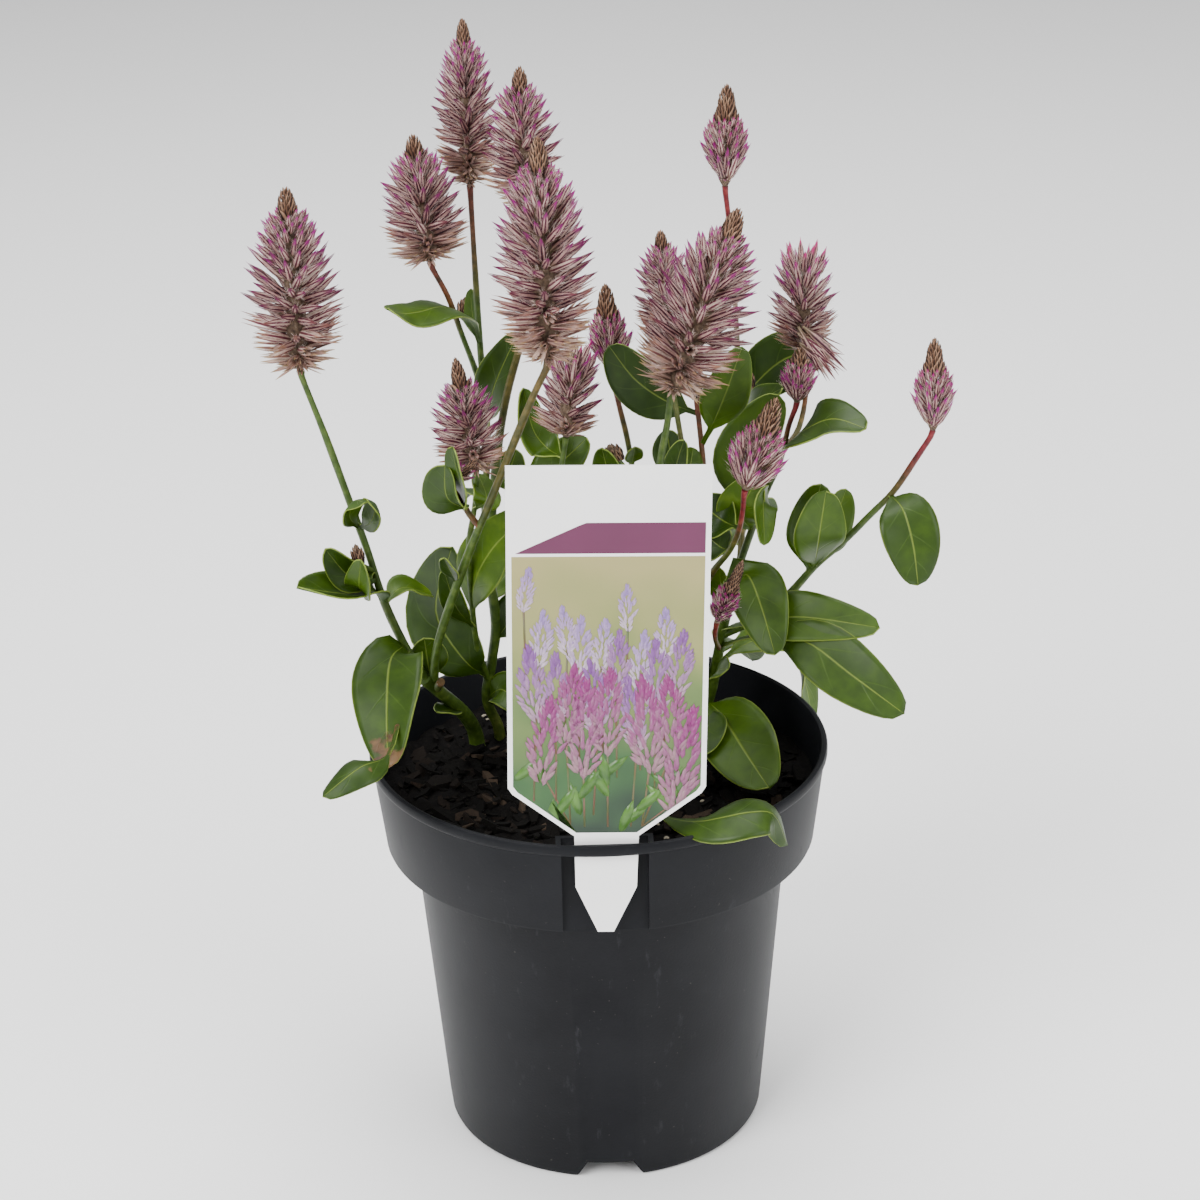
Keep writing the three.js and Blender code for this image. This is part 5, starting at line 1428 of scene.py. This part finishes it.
def make_shoot(name, shoot, grid, stem_finish, leaf_finishes):
    """A shoot as two pieces, its stems and its leaves. Each blade's map is the flat grid's own."""
    random_draw = random.Random(name)
    curves = {}
    stems = []
    for key, row in shoot["stems"].items():
        curves[key] = stem_curve(row, curves)
        stems.append(stem_shape(key, row, curves[key], random_draw))
    piece = smooth(joined(name + "_stems", stems), 50)
    worn(piece, "foliage", [name], stem_finish)
    blades = [leaf_shape(grid, row, curves, random_draw) for row in shoot["leaves"]]
    leaves = joined(name + "_leaves", blades)
    uv = leaves.data.uv_layers.new(name="blade")
    corner = np.empty(len(leaves.data.loops), int)
    leaves.data.loops.foreach_get("vertex_index", corner)
    place = np.tile(grid.points[:, :2] + 0.5, (len(blades), 1))[corner]
    uv.data.foreach_set("uv", place.ravel())
    smooth(leaves, 80)
    for m in leaf_finishes:
        leaves.data.materials.append(m)
    thick = {"thickness": BLADE_THICK * MM, "offset": 0, "use_rim": True}
    applied(leaves, "SOLIDIFY", **thick, material_offset=1, material_offset_rim=2)
    worn(leaves, "foliage", [name])


# Flower spikes

GOLDEN = math.pi * (3 - math.sqrt(5))
BARE = {"full": 0.11, "young": 0.28, "open": 0.01}  # share of the height that is a cone of closed buds
OUTLINES = {  # how wide a spike is at each share of its height, by its state
    "full": [
        (0, 0.35), (0.08, 0.74), (0.2, 0.98), (0.42, 0.97), (0.65, 0.8), (0.78, 0.6),
        (0.86, 0.36), (0.89, 0.17), (0.93, 0.155), (0.97, 0.1), (1, 0.02),
    ],
    "young": [
        (0, 0.24), (0.1, 0.3), (0.19, 0.5), (0.3, 0.84), (0.4, 1), (0.5, 0.9), (0.6, 0.72),
        (0.69, 0.48), (0.78, 0.33), (0.9, 0.26), (0.96, 0.15), (1, 0.02),
    ],
    "open": [
        (0, 0.3), (0.1, 0.6), (0.22, 0.95), (0.35, 1), (0.55, 0.88), (0.8, 0.68), (0.94, 0.55), (1, 0.36),
    ],
}
LEANS = {  # how far a floret leans out from the axis, in degrees, at each share of the height
    "full": [(0, 88), (0.15, 78), (0.35, 66), (0.55, 54), (0.75, 40), (0.88, 26), (0.9, 14), (1, 6)],
    "young": [(0, 46), (0.3, 40), (0.6, 28), (0.7, 16), (1, 6)],
    "open": [(0, 62), (0.2, 64), (0.5, 56), (0.8, 34), (1, 14)],
}
LENGTHS = {  # length of a floret in mm at each share of the height
    "full": [(0, 16.5), (0.6, 16), (0.76, 11), (0.86, 6), (0.9, 3), (1, 1.8)],
    "young": [(0, 14), (0.4, 12), (0.6, 6.5), (0.7, 3.8), (0.78, 3), (1, 1.8)],
    "open": [(0, 15), (0.6, 15), (0.8, 12.5), (1, 10)],
}
CLOSENESS = {  # florets for each mm of height
    "full": [(0, 2), (0.6, 2.5), (0.75, 4), (0.86, 7.5), (0.9, 9), (1, 8)],
    "young": [(0, 2.2), (0.4, 3), (0.6, 6.5), (0.7, 9), (1, 8)],
    "open": [(0, 1.8), (0.6, 2), (0.9, 3), (1, 4)],
}
OPENED = [(0, 0.5), (0.1, 0.42), (0.25, 0.2), (0.42, 0.03)]  # how far a floret has opened
FLORET_LENGTH = 16.5
FLORET_HALF = 1.15
TEPALS = 5
HAIRS = 32
HAIR_HALF = 0.05  # a little thicker than life, so that single hairs still show
KINDS = 4  # of florets, from closed to open
VARIANTS = 4  # of each kind
LOOSE = 9
CORE_SIDES = 12
BUD_SIDES = 10
BUD_SCALES = 30
BUD_CORE = [(0.75, 0.25), (0.7, 0.5), (0.3, 0.85)]  # shares of a lone bud's radius and length
FIRST_SEED = 11


def at_share(rows, share):
    """The value that a table of (share, value) gives at a share."""
    return float(np.interp(share, [r[0] for r in rows], [r[1] for r in rows]))


def tepal_blank():
    """One tepal, straight, 1 long and 2 across: a lance with a keel towards +y. It is modelled large."""
    rings = [(0.4, 0), (0.95, 0.3), (0.75, 0.7), (0.04, 1)]
    wide, long = 100, 1000
    tepal = taken(drawn_up("tepal", 3, [(r * wide, z * long) for r, z in rings]))
    tepal.points /= np.array([wide, wide, long])
    tepal.values["keel"] = np.clip(tepal.points[:, 1] * 0.9 + 0.5, 0, 1)
    tepal.values["along"] = np.clip(tepal.points[:, 2], 0, 1)
    return tepal


def hair_blank():
    """One hair, 1 long and 2 across: the fewest faces that a closed sliver can have."""
    bpy.ops.object.select_all(action="DESELECT")
    bpy.ops.mesh.primitive_cone_add(vertices=3, radius1=1, radius2=0, depth=1, location=(0, 0, 0.5))
    bpy.ops.object.transform_apply()
    hair = taken(bpy.context.object)
    hair.points *= MM
    return hair


def floret_shapes(tepal, hair, openness, random_draw):
    """A floret along +z, 1 long and 1 in half width, as the shapes of its tepals and its hairs."""
    tepals, hairs = [], []
    z = tepal.points[:, 2]
    belly = 0.75 * np.sin(math.pi * np.clip(z, 0, 1) ** 0.8) ** 0.8
    for k in range(TEPALS):
        a = 2 * math.pi * (k + random_draw.uniform(-0.15, 0.15)) / TEPALS
        reach = random_draw.uniform(0.86, 1.02)
        wide_open = openness * random_draw.uniform(0.5, 1.5)
        out = belly + wide_open * 4 * z**1.8 + tepal.points[:, 1] * 0.3 + 0.1
        across = tepal.points[:, 0] * (0.6 + 0.3 * openness)
        x = out * math.cos(a) - across * math.sin(a)
        y = out * math.sin(a) + across * math.cos(a)
        tepals.append(tepal.placed(np.stack([x, y, z * reach], -1)))
    for k in range(HAIRS):
        a = random_draw.uniform(0, 2 * math.pi)
        low = random_draw.uniform(0.1, 0.6)
        reach = random_draw.uniform(0.2, 0.45) * (1 + 0.4 * openness)
        lean = random_draw.uniform(0.1, 0.6)
        foot = 0.6 * math.sin(math.pi * low**0.8) ** 0.8 * random_draw.uniform(1 - openness, 1)
        h = hair.points
        thin = HAIR_HALF / FLORET_HALF
        out = foot + h[:, 2] * reach * math.sin(lean) * FLORET_LENGTH / FLORET_HALF * 0.6 + h[:, 0] * thin
        around = h[:, 1] * thin
        x = out * math.cos(a) - around * math.sin(a)
        y = out * math.sin(a) + around * math.cos(a)
        hairs.append(hair.placed(np.stack([x, y, low + h[:, 2] * reach * math.cos(lean)], -1)))
    return merged(tepals), merged(hairs)


def stood(points, foot, direction, turn):
    """Points along +z moved to stand on foot along direction, turned about it."""
    side = unit(np.array([-direction[1], direction[0], 0.01]))
    up = np.cross(direction, side)
    c, s = math.cos(turn), math.sin(turn)
    return foot + points @ np.stack([c * side + s * up, c * up - s * side, direction])


def stood_floret(floret, scale, foot, direction, turn, youth, tone):
    """A floret of the library at its own size and place, as its tepals and its hairs."""
    tepals, hairs = floret
    tepals = tepals.placed(stood(tepals.points * scale, foot, direction, turn), youth=youth, tone=tone)
    return tepals, hairs.placed(stood(hairs.points * scale, foot, direction, turn), tone=tone)


def stood_flat(points, foot, direction):
    """Points along +z stood on foot along direction, with +y turned away from the axis."""
    outward = unit(np.array([direction[0], direction[1], 0.0]))
    side = np.cross(outward, (0, 0, 1.0))
    return foot + points @ np.stack([side, np.cross(side, -direction), direction])


def along_axis(shapes, row):
    """Shapes drawn up the z axis, moved onto the spike's own axis."""
    foot, tip = seen(row["foot"]), seen(row["tip"])
    turn = Vector((0, 0, 1)).rotation_difference(tip - foot).to_matrix()
    for s in shapes:
        s.points = s.points @ np.array(turn).T + np.array(foot)
    return shapes


def leaning(angle, lean):
    """The direction that leans out from the axis, at an angle round it."""
    return np.array([math.cos(angle) * math.sin(lean), math.sin(angle) * math.sin(lean), math.cos(lean)])


def spike_core(radius, length, bare, state):
    """The woolly axis that the florets stand in."""
    top = 0.85 if state == "open" else 0.97
    rings = [
        (0.9, 0.2),
        (radius * 0.2, length * 0.05),
        (radius * 0.2, length * 0.3),
        (radius * 0.13, length * (0.8 - bare)),
        (radius * 0.08, length * (top - bare)),
        (0.3, length * top),
    ]
    return taken(drawn_up("axis", CORE_SIDES, rings))


def bud_scale(tepal, reach, height, size, angle, lean, **values):
    """A closed bud: one keeled scale that ends at this distance from the axis and at this height."""
    direction = leaning(angle, lean)
    foot = np.array([reach * math.cos(angle), reach * math.sin(angle), height]) - direction * size
    points = tepal.points * np.array([size * 0.23, size * 0.2, size])
    return tepal.placed(stood_flat(points, foot, direction), **values)


def profile_share(s, bare, state):
    """The share of the height on the state's own profile, for a spike whose cone has another height."""
    usual = BARE[state]
    if s < 1 - bare:
        return s * (1 - usual) / (1 - bare)
    return 1 - usual + (s - 1 + bare) * usual / bare


def length_of(row):
    """The length of a spike or bud, from its foot to its tip."""
    return (seen(row["tip"]) - seen(row["foot"])).length


def spike_shapes(row, state, bare, library, random_draw):
    """Buds and florets in one spiral: each ends on the outline and leans as its height asks."""
    length = length_of(row)
    scales, tepals, hairs = [], [], []
    s = 0.01
    i = 0
    while s < 0.995:
        up = profile_share(s, bare, state)
        s += 1 / (length * at_share(CLOSENESS[state], up))
        i += 1
        in_cone = s >= 1 - bare
        lean = at_share(LEANS[state], up) + random_draw.uniform(-1, 1) * (2 if in_cone else 7)
        lean = math.radians(lean)
        a = i * GOLDEN + random_draw.uniform(-0.15, 0.15) * (0 if in_cone else 1)
        radius = row["radius"] * at_share(OUTLINES[state], up)
        size = at_share(LENGTHS[state], up) * random_draw.uniform(0.92, 1.06)
        tone = random_draw.random()
        if state != "open" and s > 1 - bare * 1.05:
            bud = {"youth": 0.4, "tone": tone}
            scales.append(bud_scale(library["tepal"], radius, s * length, size, a, lean, **bud))
            continue
        radius *= random_draw.uniform(0.9, 1.07)
        direction = leaning(a, lean)
        size = min(size, radius / math.sin(lean))
        foot = np.array([0, 0, s * length - size * math.cos(lean)])
        foot[:2] += direction[:2] * (radius / math.sin(lean) - size)
        foot[2] = max(0.8, foot[2])
        half = FLORET_HALF * min(1, 0.42 + size / 24)
        opened = 0 if state == "young" else at_share(OPENED, s)
        kind = min(KINDS - 1, int(opened * KINDS + random_draw.random() * 0.8))
        youth = 0.75 + 0.25 * up if state == "young" else max(0, up * 1.1 - 0.08)
        scale = np.array([half, half, size])
        turn = random_draw.uniform(0, 2 * math.pi)
        tepal, hair = stood_floret(library[kind][i % VARIANTS], scale, foot, direction, turn, youth, tone)
        tepals.append(tepal)
        hairs.append(hair)
    return scales, tepals, hairs


def loose_florets(row, library, random_draw):
    """Spent florets that hang from a shedding spike, down to the right of its foot."""
    foot, tip = seen(row["foot"]), seen(row["tip"])
    level = (tip - foot).rotation_difference(Vector((0, 0, 1))).to_matrix()
    foot_x, foot_y, _ = row["foot"]
    tepals, hairs = [], []
    for i in range(LOOSE):
        start = seen((foot_x + random_draw.uniform(-6, 12), foot_y - random_draw.uniform(2, 26), 2))
        end = seen((foot_x + 18 + 26 * random_draw.random(), foot_y + random_draw.uniform(2, 34), 4))
        root, ahead = np.array(level @ (start - foot)), unit(np.array(level @ (end - start)))
        scale = np.array([FLORET_HALF * 0.8, FLORET_HALF * 0.8, (end - start).length])
        turn, tone = random_draw.uniform(0, 2 * math.pi), random_draw.random()
        tepal, hair = stood_floret(library[KINDS - 1][i % VARIANTS], scale, root, ahead, turn, 0.3, tone)
        tepals.append(tepal)
        hairs.append(hair)
    return tepals, hairs


def make_spike(name, row, seed, library, finishes):
    """A spike as its woolly axis, its closed buds, its florets and their hairs."""
    random_draw = random.Random(seed)
    state = row.get("state", "full")
    bare = row.get("cone", BARE[state])
    scales, tepals, hairs = spike_shapes(row, state, bare, library, random_draw)
    if name == "spike_shedding":
        more_tepals, more_hairs = loose_florets(row, library, random_draw)
        tepals += more_tepals
        hairs += more_hairs
    pieces = [
        ("axis", [spike_core(row["radius"], length_of(row), bare, state)], finishes["axis"]),
        ("bud_scales", scales, finishes["scale"]),
        ("florets", tepals, finishes["floret"]),
        ("hairs", hairs, finishes["hair"]),
    ]
    for part, shapes, finish in pieces:
        if not shapes:
            continue
        piece = joined(name + "_" + part, along_axis(shapes, row))
        if part != "hairs":
            smooth(piece, 40)
        worn(piece, "bloom", [name], finish)


def bud_scales(tepal, length, radius, random_draw):
    """The scales of a lone bud, in a spiral from its foot to its tip."""
    shapes = []
    for i in range(BUD_SCALES):
        up = (i + 0.5) / BUD_SCALES
        reach = radius * (0.75 + 0.4 * up) * (1 - up**3)
        lean = 0.3 * (1 - up)
        height = length * (0.3 + 0.7 * up)
        size = 3.6 - 1.4 * up
        tone = random_draw.random()
        shapes.append(bud_scale(tepal, reach, height, size, i * GOLDEN, lean, youth=0.4, tone=tone))
    return shapes


def make_bud(name, row, library, finishes):
    """A lone closed bud: a small core under a spiral of scales."""
    length, radius = length_of(row), row["radius"]
    rings = [(radius * 0.4, 0.3)] + [(radius * wide, length * high) for wide, high in BUD_CORE]
    core = taken(drawn_up("axis", BUD_SIDES, rings + [(0.15, length)]))
    scales = bud_scales(library["tepal"], length, radius, random.Random(name))
    for part, shapes, finish in (("axis", [core], finishes["axis"]), ("scales", scales, finishes["scale"])):
        piece = smooth(joined(name + "_" + part, along_axis(shapes, row)), 40)
        worn(piece, "bud", [name], finish)


def make_plant():
    stem_finish = green_stem()
    leaf_finishes = (leaf_upper(), leaf_under(), leaf_edge())
    grid = blade_grid()
    for name, shoot in SHOOTS.items():
        make_shoot(name, shoot, grid, stem_finish, leaf_finishes)
    tepal, hair = tepal_blank(), hair_blank()
    random_draw = random.Random(8)
    library = {
        kind: [floret_shapes(tepal, hair, kind / KINDS, random_draw) for _ in range(VARIANTS)]
        for kind in range(KINDS)
    }
    library["tepal"] = tepal
    finishes = {
        "floret": floret_material(),
        "hair": hair_material(),
        "scale": scale_material(),
        "axis": rachis_material(),
    }
    for seed, (name, row) in enumerate(SPIKES.items(), FIRST_SEED):
        make_spike(name, row, seed, library, finishes)
    for name, row in BUDS.items():
        make_bud(name, row, library, finishes)


# Stage

FLOOR_SIZE = 8
SENSOR = 36
LAMPS = {  # name: place, size and power
    "key": ((-0.9, -1.1, 1.3), 1.0, 42),
    "fill": ((1.2, -0.9, 0.9), 1.2, 20),
    "top": ((0, 0.3, 1.6), 1.4, 36),
}
LAMPS_LOOK_AT = Vector((0, 0, 0.2))
SKY_LIGHT = 0.45


def make_stage():
    """A wide pale floor, soft light from large lamps and an even sky."""
    bpy.ops.object.select_all(action="DESELECT")
    bpy.ops.mesh.primitive_plane_add(size=FLOOR_SIZE)
    floor = bpy.context.object
    floor.name = "floor"
    material, add = started("pale_floor")
    floor.data.materials.append(ended(material, add, {"Base Color": "#fbfbfb", "Roughness": 0.9}))
    for name, (place, size, power) in LAMPS.items():
        lamp = bpy.data.lights.new(name, "AREA")
        lamp.size = size
        lamp.energy = power
        obj = bpy.data.objects.new(name, lamp)
        obj.location = place
        obj.rotation_euler = (LAMPS_LOOK_AT - Vector(place)).to_track_quat("-Z", "Y").to_euler()
        bpy.context.scene.collection.objects.link(obj)
    world = bpy.data.worlds.new("studio")
    world.use_nodes = True
    sky = world.node_tree.nodes["Background"]
    sky.inputs["Color"].default_value = (1, 1, 1, 1)
    sky.inputs["Strength"].default_value = SKY_LIGHT
    bpy.context.scene.world = world


def make_camera():
    """The photograph's view."""
    camera = bpy.data.cameras.new("camera")
    camera.sensor_width = SENSOR
    camera.lens = SENSOR * FOCAL / PICTURE
    camera.shift_x = (PICTURE / 2 - CENTRE[0]) / PICTURE
    eye = bpy.data.objects.new("camera", camera)
    eye.location = EYE * MM
    level = AHEAD.to_track_quat("-Z", "Y")
    eye.rotation_mode = "QUATERNION"
    eye.rotation_quaternion = level @ Quaternion((0, 0, 1), ROLL)
    bpy.context.scene.collection.objects.link(eye)
    bpy.context.scene.camera = eye


make_stage()
make_camera()
make_pot()
make_soil()
make_tag()
make_plant()
